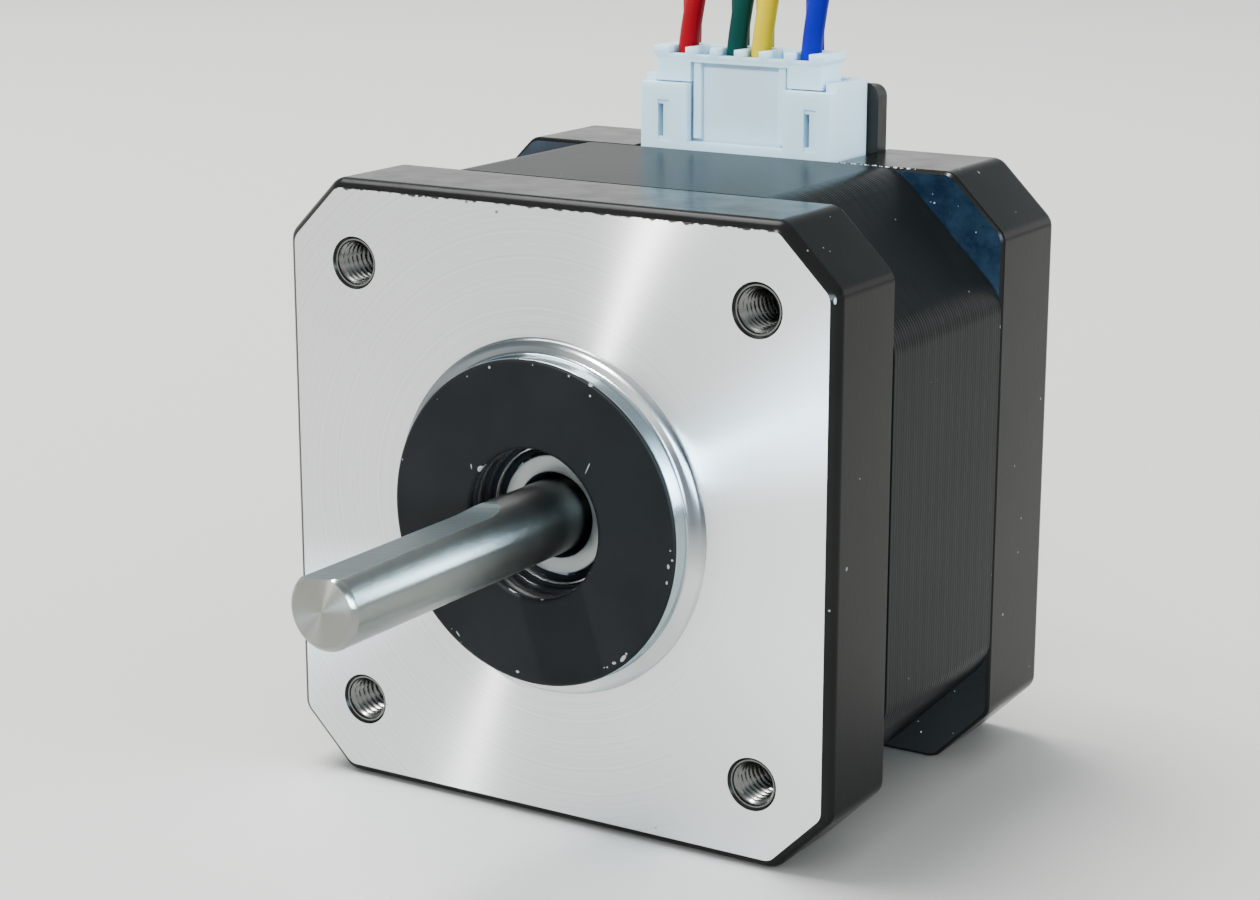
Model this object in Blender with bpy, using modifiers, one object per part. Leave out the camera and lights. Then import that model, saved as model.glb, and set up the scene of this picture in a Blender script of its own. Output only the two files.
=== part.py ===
"""Hybrid stepper motor with a 42 mm square frame, a D-cut shaft and a plugged-in four-wire lead.

Sizes are millimetres in the motor's own frame: the shaft axis is x = z = 0, the mounting
face is y = 0 and y grows towards the back.  The helpers scale everything to metres, and the
empties put the motor on its base with the origin under the middle of its length.
"""
import math

import bmesh
import bpy
from mathutils import Euler, Vector

MM = 0.001

# Square frame
HALF = 21.15
BELL_CHAMFER = 4.05
STACK_CHAMFER = 8.15
SCREW_OFFSET = 15.5
BELL_DEPTH = 7.8
STACK_END = 24.0
BODY_DEPTH = 33.0
JOINT_GAP = 0.1
FRONT_EDGE = 0.6
REAR_EDGE = 0.8
POCKET_R = 18.8
PARTS_MIDDLE = 4.5
FRONT_POCKET = 2.6
REAR_POCKET = 30.6
SHAFT_OPENING_R = 4.0
NOTCH_HALF = 8.4
NOTCH_BOTTOM = 17.7
NOTCH_TOP = 23.0
OUTSIDE = 3.0

# Screws through the castings
SCREW_R = 1.3
SCREW_POINT = 5.2
SCREW_CLEARANCE_R = 1.6
SCREW_HEAD_R = 2.7
SCREW_HEAD_START = 31.0
SCREW_HEAD_END = 32.75
SCREW_SOCKET_R = 1.25
SCREW_SOCKET_FLOOR = 31.7
RECESS_R = 3.0
RECESS_FLOOR = 30.8

# Mounting boss and mounting holes
BOSS_R = 11.0
BOSS_HEIGHT = 2.0
ROOT_R = 12.06
ROOT_HEIGHT = 0.4
BOSS_HOLE_R = 5.0
THREAD_R = 1.5
THREAD_ENTRY_R = 1.8
THREAD_ENTRY_DEPTH = 0.3

# Ball bearings, 5 x 16 x 5
BEARING_WIDTH = 5.0
BEARING_R = 7.9
SEAT_R = 8.0
SEAT_WALL_R = 10.0
OUTER_LAND_R = 6.7
INNER_LAND_R = 4.0
INNER_BORE_R = 2.6
BALL_PITCH_R = 5.35
BALL_R = 1.3
BALL_COUNT = 7
CAGE_HALF = 0.35
SHIELD_THICKNESS = 0.25
SHIELD_INSET = 0.15
WASHER_OUTER_R = 7.7
WASHER_INNER_R = 5.6
WASHER_THICKNESS = 0.45
WASHER_SPACE = 0.7
FRONT_BEARING = 0.8
REAR_BEARING = 25.9

# Shaft
SHAFT_R = 2.5
SHAFT_TIP = -24.0
SHAFT_END = 31.3
SHAFT_CHAMFER = 0.3
FLAT_DEPTH = 0.5
FLAT_END = -8.45
FLAT_RUNOUT_R = 6.0
FLAT_RUNOUT_SWEEP = 30.0
FLAT_TILT = math.radians(-7.0)

# Magnetic circuit
POLES = 8
STATOR_TEETH_PER_POLE = 6
TOOTH_PITCH = 7.2
STATOR_TOOTH = 3.6
STATOR_BORE_R = 13.1
STATOR_ROOT_R = 13.7
SHOE_BACK_R = 14.7
SHOE_TIP_BACK_R = 14.4
POLE_HALF_WIDTH = 2.1
YOKE_R = 18.4
ROTOR_TEETH = 50
ROTOR_TOOTH = 3.3
ROTOR_R = 12.85
ROTOR_ROOT_R = 12.25
ROTOR_START = 8.0
CUP_LENGTH = 6.9
MAGNET_LENGTH = 1.6
MAGNET_GAP = 0.2
ROTOR_END = ROTOR_START + 2.0 * CUP_LENGTH + MAGNET_LENGTH + 2.0 * MAGNET_GAP
MAGNET_R = 10.5
SPACER_R = 3.5

# Winding
COIL_IN = 14.8
COIL_OUT = 17.4
COIL_WINDOW_HALF_WIDTH = 2.4
COIL_WINDOW_HALF_LENGTH = 9.3
COIL_THICKNESS = 1.3
BOBBIN_PLATE = 0.9
BOBBIN_WALL = 2.8
BOBBIN_BORE_R = 13.9
BOBBIN_WALL_R = 14.5
BOBBIN_WINDOW_R = 17.95
BOBBIN_R = 18.6
BOARD_OUTER_R = 18.0
BOARD_INNER_R = 11.0
BOARD_FRONT = 29.0
BOARD_BACK = 30.0

# Connector
PITCH = 2.0
POSITIONS = 6
WIRED = {"red": 0, "green": 2, "yellow": 3, "blue": 5}
PIN_Y = 26.4
SOCKET_HALF = 7.7
SOCKET_FRONT = 24.2
SOCKET_REAR = 30.0
SOCKET_BASE = 18.9
SOCKET_TOP = 26.4
SOCKET_FRONT_TOP = 25.85
SOCKET_WALL = 0.8
SOCKET_FLOOR = 1.2
WINDOW_HALF = 3.95
WINDOW_SILL = 21.7
SLOT_X = 5.6
SLOT_HALF = 0.25
SLOT_BOTTOM = 22.2
SLOT_TOP = 24.6
PIN_HALF = 0.25
PIN_HOLE_HALF = 0.45
PIN_BOTTOM = 17.6
PIN_TOP = 24.2
PIN_BACK = 28.7
PLUG_HALF = 6.6
PLUG_TOP = 28.4
PLUG_WELL_HALF = 0.85
CONTACT_R = 0.66
CONTACT_BORE_R = 0.42
CONTACT_BASE = 20.7
CONTACT_LENGTH = 4.9
BACKING_HALF = 8.1
BACKING_TOP = 25.8
BACKING_BOTTOM = 18.0
BACKING_FRONT = 30.3
BACKING_BACK = 32.4
BACKING_CORNER_R = 0.6

# Lead: four wires, a coil on the floor and a four-way housing at the far end
WIRE_R = 0.75
WIRE_PITCH = 1.7
WIRE_STEP = 4.0
PATH_SAMPLES = 16
COIL_CENTRE = (-20.0, 64.1)
COIL_OUTER = 22.0
COIL_INNER = 15.2
COIL_MIDDLE_Z = -17.05
COIL_HALF_HEIGHT = 3.35
TIE_WIDTH = 2.5
TIE_BAND = 0.5
TIE_GAP = 0.2
TIE_HEAD = 1.6
HOUSING_SIZE = (10.2, 14.0, 2.6)
HOUSING_GAP = 0.3

# Each row: x, y, z of the bundle, then how far the wires fan out as at the plug, then how
# far they lie apart in x and in z as in the coil.
LEAD_ROUTE = [
    (0.00, 26.40, 25.90, 1.00, 0.00, 0.00),
    (0.00, 26.40, 28.40, 1.00, 0.00, 0.00),
    (0.40, 26.50, 31.50, 0.99, 0.00, 0.00),
    (0.80, 26.90, 35.00, 0.99, 0.00, 0.00),
    (0.15, 28.30, 39.40, 1.00, 0.00, 0.00),
    (-1.70, 31.40, 42.90, 1.02, 0.00, 0.00),
    (-4.40, 35.60, 44.20, 1.05, 0.00, 0.00),
    (-7.00, 39.80, 42.90, 1.08, 0.00, 0.00),
    (-8.90, 42.80, 39.20, 1.10, 0.00, 0.00),
    (-9.60, 44.00, 34.00, 1.10, 0.00, 0.00),
    (-9.60, 44.10, 28.00, 1.10, 0.00, 0.00),
    (-9.60, 44.00, 22.50, 1.10, 0.00, 0.00),
    (-9.90, 43.80, 16.00, 0.75, 0.25, 0.00),
    (-10.20, 43.20, 9.00, 0.35, 0.65, 0.00),
    (-10.50, 42.40, 2.00, 0.08, 0.92, 0.00),
    (-10.70, 41.60, -4.50, 0.00, 1.00, 0.00),
    (-10.70, 41.15, -9.05, 0.00, 1.00, 0.00),
    (-11.77, 41.05, -13.05, 0.00, 0.87, -0.50),
    (-14.70, 41.05, -15.98, 0.00, 0.50, -0.87),
    (-18.70, 41.05, -17.05, 0.00, 0.00, -1.00),
    (-20.00, 41.05, -17.05, 0.00, 0.00, -1.00),
]

# Each row: x, y of the bundle from the coil's middle, z, then how far the wires lie apart
# in x, y and z.
TAIL_ROUTE = [
    (-14.15, 0.00, -17.05, 0.00, 0.00, -1.00),
    (-13.00, 4.30, -17.15, 0.00, 0.00, -1.00),
    (-9.85, 7.45, -17.60, -0.17, 0.30, -0.90),
    (-5.55, 8.60, -18.60, 0.00, 0.90, -0.60),
    (-1.92, 7.79, -19.40, 0.55, 1.18, -0.20),
    (0.53, 6.08, -19.85, 1.056, 1.056, 0.00),
]

PAINT = ("black_paint", (0.035, 0.034, 0.033), 0.45, 0.0)
STACK_PAINT = ("stack_paint", (0.05, 0.06, 0.075), 0.4, 0.0)
STEEL = ("ground_steel", (0.56, 0.56, 0.55), 0.25, 1.0)
NYLON = ("white_nylon", (0.78, 0.83, 0.86), 0.4, 0.0)
BLACK_PLASTIC = ("black_plastic", (0.03, 0.028, 0.026), 0.5, 0.0)
IVORY = ("bobbin_plastic", (0.75, 0.72, 0.62), 0.5, 0.0)
COPPER = ("enamelled_copper", (0.55, 0.24, 0.1), 0.35, 1.0)
LAMINATION = ("rotor_iron", (0.3, 0.3, 0.31), 0.4, 1.0)
MAGNET = ("magnet", (0.22, 0.22, 0.23), 0.4, 1.0)
BRASS = ("tinned_brass", (0.7, 0.66, 0.55), 0.3, 1.0)
BOARD = ("circuit_board", (0.03, 0.18, 0.08), 0.5, 0.0)
ZINC = ("zinc_steel", (0.5, 0.5, 0.48), 0.35, 1.0)
BUNDLE = ("cable_coil", (0.1, 0.1, 0.3), 0.4, 0.0)
WIRE_COLOURS = {
    "red": (0.55, 0.02, 0.04),
    "green": (0.0, 0.16, 0.12),
    "yellow": (0.75, 0.6, 0.01),
    "blue": (0.01, 0.08, 0.6),
}


# ---------------------------------------------------------------- scene and materials

def clear_scene():
    """Remove every object that is already there."""
    for obj in list(bpy.data.objects):
        bpy.data.objects.remove(obj, do_unlink=True)


def new_collection(name):
    collection = bpy.data.collections.new(name)
    bpy.context.scene.collection.children.link(collection)
    return collection


def new_empty(name, y):
    """An empty on the shaft axis, at depth y behind the mounting face."""
    empty = bpy.data.objects.new(name, None)
    empty.location = Vector((0.0, y - PARTS_MIDDLE, HALF)) * MM
    PARTS.objects.link(empty)
    return empty


def material(finish):
    """The Principled material for a finish: name, colour, roughness and metallic."""
    name, colour, roughness, metallic = finish
    found = bpy.data.materials.get(name)
    if found:
        return found
    made = bpy.data.materials.new(name)
    made.use_nodes = True
    shader = made.node_tree.nodes["Principled BSDF"]
    shader.inputs["Base Color"].default_value = (*colour, 1.0)
    shader.inputs["Roughness"].default_value = roughness
    shader.inputs["Metallic"].default_value = metallic
    return made


def place(obj, finish, parent):
    """Put an object among the parts, with its material and its parent empty."""
    PARTS.objects.link(obj)
    obj.parent = parent
    obj.data.materials.append(material(finish))
    return obj


def place_cutter(obj, parent):
    """Put an object among the cutters."""
    CUTTERS.objects.link(obj)
    obj.parent = parent
    obj.hide_render = True
    obj.display_type = "WIRE"
    return obj


def smooth(obj, degrees=35.0):
    obj.data.shade_smooth()
    obj.data.set_sharp_from_angle(angle=math.radians(degrees))


# ---------------------------------------------------------------- shapes

def turned(name, profile, steps, closed=True):
    """A profile of (radius, depth) points turned round the shaft axis.

    The points run from front to back on the outer side.
    """
    bm = bmesh.new()
    points = [bm.verts.new(Vector((radius, 0.0, -depth)) * MM) for radius, depth in profile]
    for first, second in zip(points, points[1:]):
        bm.edges.new((first, second))
    if closed:
        bm.edges.new((points[-1], points[0]))
    mesh = bpy.data.meshes.new(name)
    bm.to_mesh(mesh)
    bm.free()
    obj = bpy.data.objects.new(name, mesh)
    obj.rotation_euler = (math.pi / 2.0, 0.0, 0.0)
    screw = obj.modifiers.new("turn", "SCREW")
    screw.axis = "Z"
    screw.angle = 2.0 * math.pi
    screw.steps = steps
    screw.render_steps = steps
    screw.use_merge_vertices = True
    screw.merge_threshold = 0.00001
    screw.use_smooth_shade = False
    return obj


def outline_mesh(name, outlines, thickness):
    """A welded mesh of flat outlines in local XY, filled and extruded along local Z."""
    curve = bpy.data.curves.new(name, "CURVE")
    curve.dimensions = "2D"
    curve.fill_mode = "BOTH"
    curve.extrude = thickness * MM / 2.0
    for outline in outlines:
        spline = curve.splines.new("POLY")
        spline.points.add(len(outline) - 1)
        spline.use_cyclic_u = True
        for point, (x, y) in zip(spline.points, outline):
            point.co = (x * MM, y * MM, 0.0, 1.0)
    holder = bpy.data.objects.new(name + "_outline", curve)
    CUTTERS.objects.link(holder)
    graph = bpy.context.evaluated_depsgraph_get()
    mesh = bpy.data.meshes.new_from_object(holder.evaluated_get(graph))
    bpy.data.objects.remove(holder, do_unlink=True)
    bpy.data.curves.remove(curve)
    bm = bmesh.new()
    bm.from_mesh(mesh)
    bmesh.ops.remove_doubles(bm, verts=bm.verts, dist=0.000001)
    bmesh.ops.dissolve_limit(bm, angle_limit=0.001, verts=bm.verts, edges=bm.edges)
    bmesh.ops.recalc_face_normals(bm, faces=bm.faces)
    bm.to_mesh(mesh)
    bm.free()
    mesh.name = name
    return mesh


def plate(name, outlines, front, back):
    """Outlines in x and z, seen from the front, as a plate between two depths."""
    mesh = outline_mesh(name, outlines, back - front)
    obj = bpy.data.objects.new(name, mesh)
    obj.rotation_euler = (math.pi / 2.0, 0.0, 0.0)
    obj.location.y = (front + back) / 2.0 * MM
    return obj


def round_rim(obj, local_z, width, segments):
    """Bevel the outer edges that lie at one local height of a plate."""
    bm = bmesh.new()
    bm.from_mesh(obj.data)
    rim = [
        edge for edge in bm.edges
        if all(abs(vert.co.z - local_z) < 0.00001 for vert in edge.verts)
        and len(edge.link_faces) == 2
        and edge.calc_face_angle() > 0.5
    ]
    bmesh.ops.bevel(bm, geom=rim, offset=width * MM, segments=segments, profile=0.5, affect="EDGES")
    bm.to_mesh(obj.data)
    bm.free()


def boxes(name, spans):
    """Boxes given by their (low, high) corners, as one mesh."""
    bm = bmesh.new()
    for low, high in spans:
        made = bmesh.ops.create_cube(bm, size=1.0)["verts"]
        size = [top - bottom for bottom, top in zip(low, high)]
        centre = [(top + bottom) / 2.0 for bottom, top in zip(low, high)]
        bmesh.ops.scale(bm, vec=Vector(size) * MM, verts=made)
        bmesh.ops.translate(bm, vec=Vector(centre) * MM, verts=made)
    mesh = bpy.data.meshes.new(name)
    bm.to_mesh(mesh)
    bm.free()
    return bpy.data.objects.new(name, mesh)


def tube(name, points, radius, step):
    """A round wire along a smooth curve through the points."""
    curve = bpy.data.curves.new(name, "CURVE")
    curve.dimensions = "3D"
    curve.bevel_depth = radius * MM
    curve.bevel_resolution = 2
    curve.use_fill_caps = True
    path = smooth_path(points, step)
    spline = curve.splines.new("POLY")
    spline.points.add(len(path) - 1)
    for point, spot in zip(spline.points, path):
        point.co = (*(spot * MM), 1.0)
    return bpy.data.objects.new(name, curve)


def smooth_path(points, step):
    """Points about one step apart on a Catmull-Rom curve through the given points."""
    knots = [Vector(point) for point in points]
    knots = [2.0 * knots[0] - knots[1]] + knots + [2.0 * knots[-1] - knots[-2]]
    dense = []
    for before, start, end, after in zip(knots, knots[1:], knots[2:], knots[3:]):
        for index in range(PATH_SAMPLES):
            t = index / PATH_SAMPLES
            dense.append(0.5 * (
                2.0 * start
                + (end - before) * t
                + (2.0 * before - 5.0 * start + 4.0 * end - after) * t ** 2
                + (3.0 * start - before - 3.0 * end + after) * t ** 3
            ))
    dense.append(knots[-2])
    lengths = [0.0]
    for first, second in zip(dense, dense[1:]):
        lengths.append(lengths[-1] + (second - first).length)
    count = max(2, round(lengths[-1] / step))
    path = []
    index = 0
    for number in range(count + 1):
        target = lengths[-1] * number / count
        while index < len(dense) - 2 and lengths[index + 1] < target:
            index += 1
        share = (target - lengths[index]) / (lengths[index + 1] - lengths[index])
        path.append(dense[index].lerp(dense[index + 1], min(1.0, share)))
    return path


def cut(obj, tool, operation="DIFFERENCE"):
    """Boolean a tool into an object."""
    boolean = obj.modifiers.new(tool.name, "BOOLEAN")
    boolean.object = tool
    boolean.operation = operation
    boolean.solver = "EXACT"


# ---------------------------------------------------------------- outlines

def polar(radius, degrees):
    angle = math.radians(degrees)
    return (radius * math.cos(angle), radius * math.sin(angle))


def circle(radius, count, centre=(0.0, 0.0)):
    return [
        (centre[0] + x, centre[1] + y)
        for x, y in (polar(radius, 360.0 * index / count) for index in range(count))
    ]


def chamfered_square(half, chamfer):
    """A square with cut corners, counter-clockwise."""
    corner = [(half, -half + chamfer), (half, half - chamfer)]
    outline = []
    for turn in range(4):
        for x, y in corner:
            for _ in range(turn):
                x, y = -y, x
            outline.append((x, y))
    return outline


def rounded_rectangle(half_x, half_y, radius, steps):
    """A rectangle with round corners, counter-clockwise."""
    outline = []
    for quarter, (sx, sy) in enumerate(((1, 1), (-1, 1), (-1, -1), (1, -1))):
        for step in range(steps + 1):
            x, y = polar(radius, 90.0 * (quarter + step / steps))
            outline.append((sx * (half_x - radius) + x, sy * (half_y - radius) + y))
    return outline


def screw_centres():
    return [(x * SCREW_OFFSET, z * SCREW_OFFSET) for x, z in ((1, 1), (-1, 1), (-1, -1), (1, -1))]


def stator_bore():
    """The toothed bore of the stack with its eight poles and slots."""
    body_root = math.degrees(math.asin(POLE_HALF_WIDTH / YOKE_R))
    body_tip = math.degrees(math.asin(POLE_HALF_WIDTH / SHOE_BACK_R))
    shoe_end = (STATOR_TEETH_PER_POLE - 1) * TOOTH_PITCH / 2.0 + STATOR_TOOTH / 2.0
    half = [(YOKE_R, 22.5), (YOKE_R, 14.5), (YOKE_R, body_root), (SHOE_BACK_R, body_tip)]
    half.append((SHOE_TIP_BACK_R, shoe_end))
    teeth = []
    for tooth in range(STATOR_TEETH_PER_POLE):
        centre = (tooth - (STATOR_TEETH_PER_POLE - 1) / 2.0) * TOOTH_PITCH
        left = centre - STATOR_TOOTH / 2.0
        right = centre + STATOR_TOOTH / 2.0
        if tooth:
            teeth.append((STATOR_ROOT_R, left))
        teeth += [(STATOR_BORE_R, left), (STATOR_BORE_R, right)]
        if tooth < STATOR_TEETH_PER_POLE - 1:
            teeth.append((STATOR_ROOT_R, right))
    pole = [(radius, -angle) for radius, angle in half] + teeth
    pole += [(radius, angle) for radius, angle in reversed(half[1:])]
    return [
        polar(radius, angle + 360.0 * number / POLES)
        for number in range(POLES)
        for radius, angle in pole
    ]


def rotor_rim(offset):
    """The toothed rim of a rotor cup, turned by an offset in degrees."""
    rim = []
    for tooth in range(ROTOR_TEETH):
        centre = tooth * TOOTH_PITCH + offset
        left = centre - ROTOR_TOOTH / 2.0
        right = centre + ROTOR_TOOTH / 2.0
        rim += [polar(ROTOR_ROOT_R, left), polar(ROTOR_R, left)]
        rim += [polar(ROTOR_R, right), polar(ROTOR_ROOT_R, right)]
    return rim


def bobbin_windows():
    """The openings between a bobbin's arms."""
    inner = math.degrees(math.asin(POLE_HALF_WIDTH / BOBBIN_WALL_R))
    outer = math.degrees(math.asin(POLE_HALF_WIDTH / BOBBIN_WINDOW_R))
    window = [(BOBBIN_WALL_R, inner), (BOBBIN_WINDOW_R, outer), (BOBBIN_WINDOW_R, 22.5)]
    window += [(BOBBIN_WINDOW_R, 45.0 - outer), (BOBBIN_WALL_R, 45.0 - inner)]
    return [
        [polar(radius, angle + 45.0 * number) for radius, angle in window]
        for number in range(POLES)
    ]


# ---------------------------------------------------------------- housing

def hole_cutter(name, radius, front, back, steps):
    """Four round bars on the screw pattern."""
    outlines = [circle(radius, steps, centre) for centre in screw_centres()]
    return place_cutter(plate(name, outlines, front, back), STATOR)


def add_front_bell():
    """Front casting: square plate, pilot boss, bearing seat and winding pocket."""
    back = BELL_DEPTH - JOINT_GAP
    bell = plate("front_end_bell", [chamfered_square(HALF, BELL_CHAMFER)], 0.0, back)
    round_rim(bell, back / 2.0 * MM, FRONT_EDGE, 1)
    boss = turned("front_boss", [
        (0.0, -BOSS_HEIGHT), (BOSS_R - 0.15, -BOSS_HEIGHT), (BOSS_R, -BOSS_HEIGHT + 0.15),
        (BOSS_R, -ROOT_HEIGHT), (ROOT_R, -ROOT_HEIGHT), (ROOT_R, 0.5), (0.0, 0.5),
    ], 40, closed=False)
    cavity = turned("front_cavity", [
        (0.0, -OUTSIDE), (BOSS_HOLE_R, -OUTSIDE), (BOSS_HOLE_R, FRONT_BEARING),
        (SEAT_R, FRONT_BEARING), (SEAT_R, FRONT_BEARING + BEARING_WIDTH),
        (SEAT_WALL_R, FRONT_BEARING + BEARING_WIDTH), (SEAT_WALL_R, FRONT_POCKET),
        (POCKET_R, FRONT_POCKET), (POCKET_R, BELL_DEPTH + OUTSIDE), (0.0, BELL_DEPTH + OUTSIDE),
    ], 32, closed=False)
    place(bell, PAINT, STATOR)
    cut(bell, place_cutter(boss, STATOR), "UNION")
    cut(bell, place_cutter(cavity, STATOR))
    cut(bell, hole_cutter("front_threads", THREAD_R, -OUTSIDE, BELL_DEPTH + OUTSIDE, 12))
    cut(bell, hole_cutter("front_thread_entries", THREAD_ENTRY_R, -OUTSIDE, THREAD_ENTRY_DEPTH, 12))
    smooth(bell)


def add_rear_bell():
    """Rear casting: bearing seat, winding pocket, screw recesses and connector notch."""
    front = STACK_END + JOINT_GAP
    ahead = STACK_END - OUTSIDE
    behind = BODY_DEPTH + OUTSIDE
    bell = plate("rear_end_bell", [chamfered_square(HALF, BELL_CHAMFER)], front, BODY_DEPTH)
    round_rim(bell, -(BODY_DEPTH - front) / 2.0 * MM, REAR_EDGE, 2)
    seat_floor = REAR_BEARING + BEARING_WIDTH + WASHER_SPACE
    cavity = turned("rear_cavity", [
        (0.0, ahead), (POCKET_R, ahead), (POCKET_R, REAR_POCKET), (SEAT_WALL_R, REAR_POCKET),
        (SEAT_WALL_R, REAR_BEARING), (SEAT_R, REAR_BEARING), (SEAT_R, seat_floor),
        (SHAFT_OPENING_R, seat_floor), (SHAFT_OPENING_R, behind), (0.0, behind),
    ], 32, closed=False)
    notch = boxes("connector_notch", [
        ((-NOTCH_HALF, ahead, NOTCH_BOTTOM), (NOTCH_HALF, behind, NOTCH_TOP)),
    ])
    place(bell, PAINT, STATOR)
    cut(bell, place_cutter(cavity, STATOR))
    cut(bell, place_cutter(notch, STATOR))
    cut(bell, hole_cutter("rear_screw_holes", SCREW_CLEARANCE_R, ahead, behind, 12))
    cut(bell, hole_cutter("rear_screw_recesses", RECESS_R, RECESS_FLOOR, behind, 20))
    smooth(bell)


def add_stack():
    """Stack of stator sheets with eight toothed poles."""
    outlines = [chamfered_square(HALF, STACK_CHAMFER), stator_bore()]
    outlines += [circle(SCREW_CLEARANCE_R, 12, centre) for centre in screw_centres()]
    place(plate("stator_stack", outlines, BELL_DEPTH, STACK_END), STACK_PAINT, STATOR)


def add_screws():
    """Four long screws from the rear casting into the front one."""
    for number, (x, z) in enumerate(screw_centres(), start=1):
        screw = turned(f"screw_{number}", [
            (0.0, SCREW_POINT), (SCREW_R - 0.2, SCREW_POINT), (SCREW_R, SCREW_POINT + 0.3),
            (SCREW_R, SCREW_HEAD_START), (SCREW_HEAD_R, SCREW_HEAD_START),
            (SCREW_HEAD_R, SCREW_HEAD_END - 0.45), (SCREW_HEAD_R - 0.4, SCREW_HEAD_END),
            (SCREW_SOCKET_R, SCREW_HEAD_END), (SCREW_SOCKET_R, SCREW_SOCKET_FLOOR),
            (0.0, SCREW_SOCKET_FLOOR),
        ], 12, closed=False)
        screw.location = Vector((x, 0.0, z)) * MM
        place(screw, ZINC, STATOR)
        smooth(screw)


# ---------------------------------------------------------------- winding

def add_bobbin(name, face, direction):
    """Insulating end frame: a plate with eight arms and a collar round the bore."""
    near, far = sorted((face, face + direction * BOBBIN_PLATE))
    outlines = [circle(BOBBIN_R, 32), circle(BOBBIN_BORE_R, 32)] + bobbin_windows()
    bobbin = plate(name, outlines, near, far)
    ends = sorted((face + direction * 0.2, face + direction * BOBBIN_WALL))
    collar = turned(name + "_collar", [
        (BOBBIN_WALL_R - 0.1, ends[0]), (BOBBIN_WALL_R - 0.1, ends[1]),
        (BOBBIN_BORE_R + 0.1, ends[1]), (BOBBIN_BORE_R + 0.1, ends[0]),
    ], 32)
    place(bobbin, IVORY, STATOR)
    cut(bobbin, place_cutter(collar, STATOR), "UNION")


def add_coils():
    """One wound coil on each pole."""
    outer = rounded_rectangle(COIL_WINDOW_HALF_WIDTH + COIL_THICKNESS,
                              COIL_WINDOW_HALF_LENGTH + COIL_THICKNESS, COIL_THICKNESS, 2)
    window = rounded_rectangle(COIL_WINDOW_HALF_WIDTH, COIL_WINDOW_HALF_LENGTH, 0.3, 1)
    mesh = outline_mesh("coil", [outer, window], COIL_OUT - COIL_IN)
    middle = (COIL_IN + COIL_OUT) / 2.0
    for number in range(POLES):
        angle = 360.0 * number / POLES
        x, z = polar(middle, angle)
        coil = bpy.data.objects.new(f"coil_{number + 1}", mesh)
        coil.rotation_euler = (0.0, math.radians(90.0 - angle), 0.0)
        coil.location = Vector((x, (BELL_DEPTH + STACK_END) / 2.0, z)) * MM
        PARTS.objects.link(coil)
        coil.parent = STATOR
    mesh.materials.append(material(COPPER))


def add_lead_board():
    """Arc-shaped circuit board that joins the coils to the connector's pins."""
    angles = [62.0 + 8.0 * step for step in range(8)]
    arc = [polar(BOARD_OUTER_R, angle) for angle in angles]
    arc += [polar(BOARD_INNER_R, angle) for angle in reversed(angles)]
    place(plate("lead_board", [arc], BOARD_FRONT, BOARD_BACK), BOARD, STATOR)


# ---------------------------------------------------------------- bearings

def add_bearing(side, front, balls_parent):
    """A shielded ball bearing: two rings, two shields and the balls in their cage."""
    middle = front + BEARING_WIDTH / 2.0
    back = front + BEARING_WIDTH
    outer = turned(f"{side}_bearing_outer_ring", [
        (BEARING_R, front), (BEARING_R, back), (OUTER_LAND_R, back), (OUTER_LAND_R, middle + 1.0),
        (OUTER_LAND_R + 0.35, middle), (OUTER_LAND_R, middle - 1.0), (OUTER_LAND_R, front),
    ], 24)
    inner = turned(f"{side}_bearing_inner_ring", [
        (INNER_LAND_R, front), (INNER_LAND_R, middle - 1.0), (INNER_LAND_R - 0.35, middle),
        (INNER_LAND_R, middle + 1.0), (INNER_LAND_R, back), (INNER_BORE_R + 0.2, back),
        (INNER_BORE_R, back - 0.2), (INNER_BORE_R, front + 0.2), (INNER_BORE_R + 0.3, front),
    ], 24)
    place(outer, STEEL, STATOR)
    smooth(outer)
    place(inner, STEEL, ROTOR)
    smooth(inner)
    rear_start = back - SHIELD_INSET - SHIELD_THICKNESS
    for end, start in (("front", front + SHIELD_INSET), ("rear", rear_start)):
        shield = turned(f"{side}_bearing_{end}_shield", [
            (OUTER_LAND_R - 0.15, start), (OUTER_LAND_R - 0.15, start + SHIELD_THICKNESS),
            (INNER_LAND_R + 0.3, start + SHIELD_THICKNESS), (INNER_LAND_R + 0.3, start),
        ], 24)
        place(shield, STEEL, STATOR)
        smooth(shield)
    add_balls(f"{side}_bearing_balls", balls_parent)


def add_balls(name, parent):
    """The balls of a bearing in their cage; the parent empty is at the bearing's middle."""
    cage = turned(name, [
        (BALL_PITCH_R + CAGE_HALF, -0.3), (BALL_PITCH_R + CAGE_HALF, 0.3),
        (BALL_PITCH_R - CAGE_HALF, 0.3), (BALL_PITCH_R - CAGE_HALF, -0.3),
    ], 21)
    place(cage, STEEL, parent)
    bm = bmesh.new()
    for number in range(BALL_COUNT):
        x, z = polar(BALL_PITCH_R, 360.0 * number / BALL_COUNT)
        ball = bmesh.ops.create_uvsphere(bm, u_segments=6, v_segments=4, radius=BALL_R * MM)
        bmesh.ops.translate(bm, vec=Vector((x, 0.0, z)) * MM, verts=ball["verts"])
    mesh = bpy.data.meshes.new(name + "_set")
    bm.to_mesh(mesh)
    bm.free()
    balls = place_cutter(bpy.data.objects.new(name + "_set", mesh), parent)
    cut(cage, balls, "UNION")
    smooth(cage)


def add_wave_washer():
    """The spring washer behind the rear bearing, drawn pressed flat."""
    start = REAR_BEARING + BEARING_WIDTH + 0.1
    end = start + WASHER_THICKNESS
    washer = turned("wave_washer", [
        (WASHER_OUTER_R, start), (WASHER_OUTER_R, end),
        (WASHER_INNER_R, end), (WASHER_INNER_R, start),
    ], 24)
    place(washer, STEEL, STATOR)
    smooth(washer)


# ---------------------------------------------------------------- rotor

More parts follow.
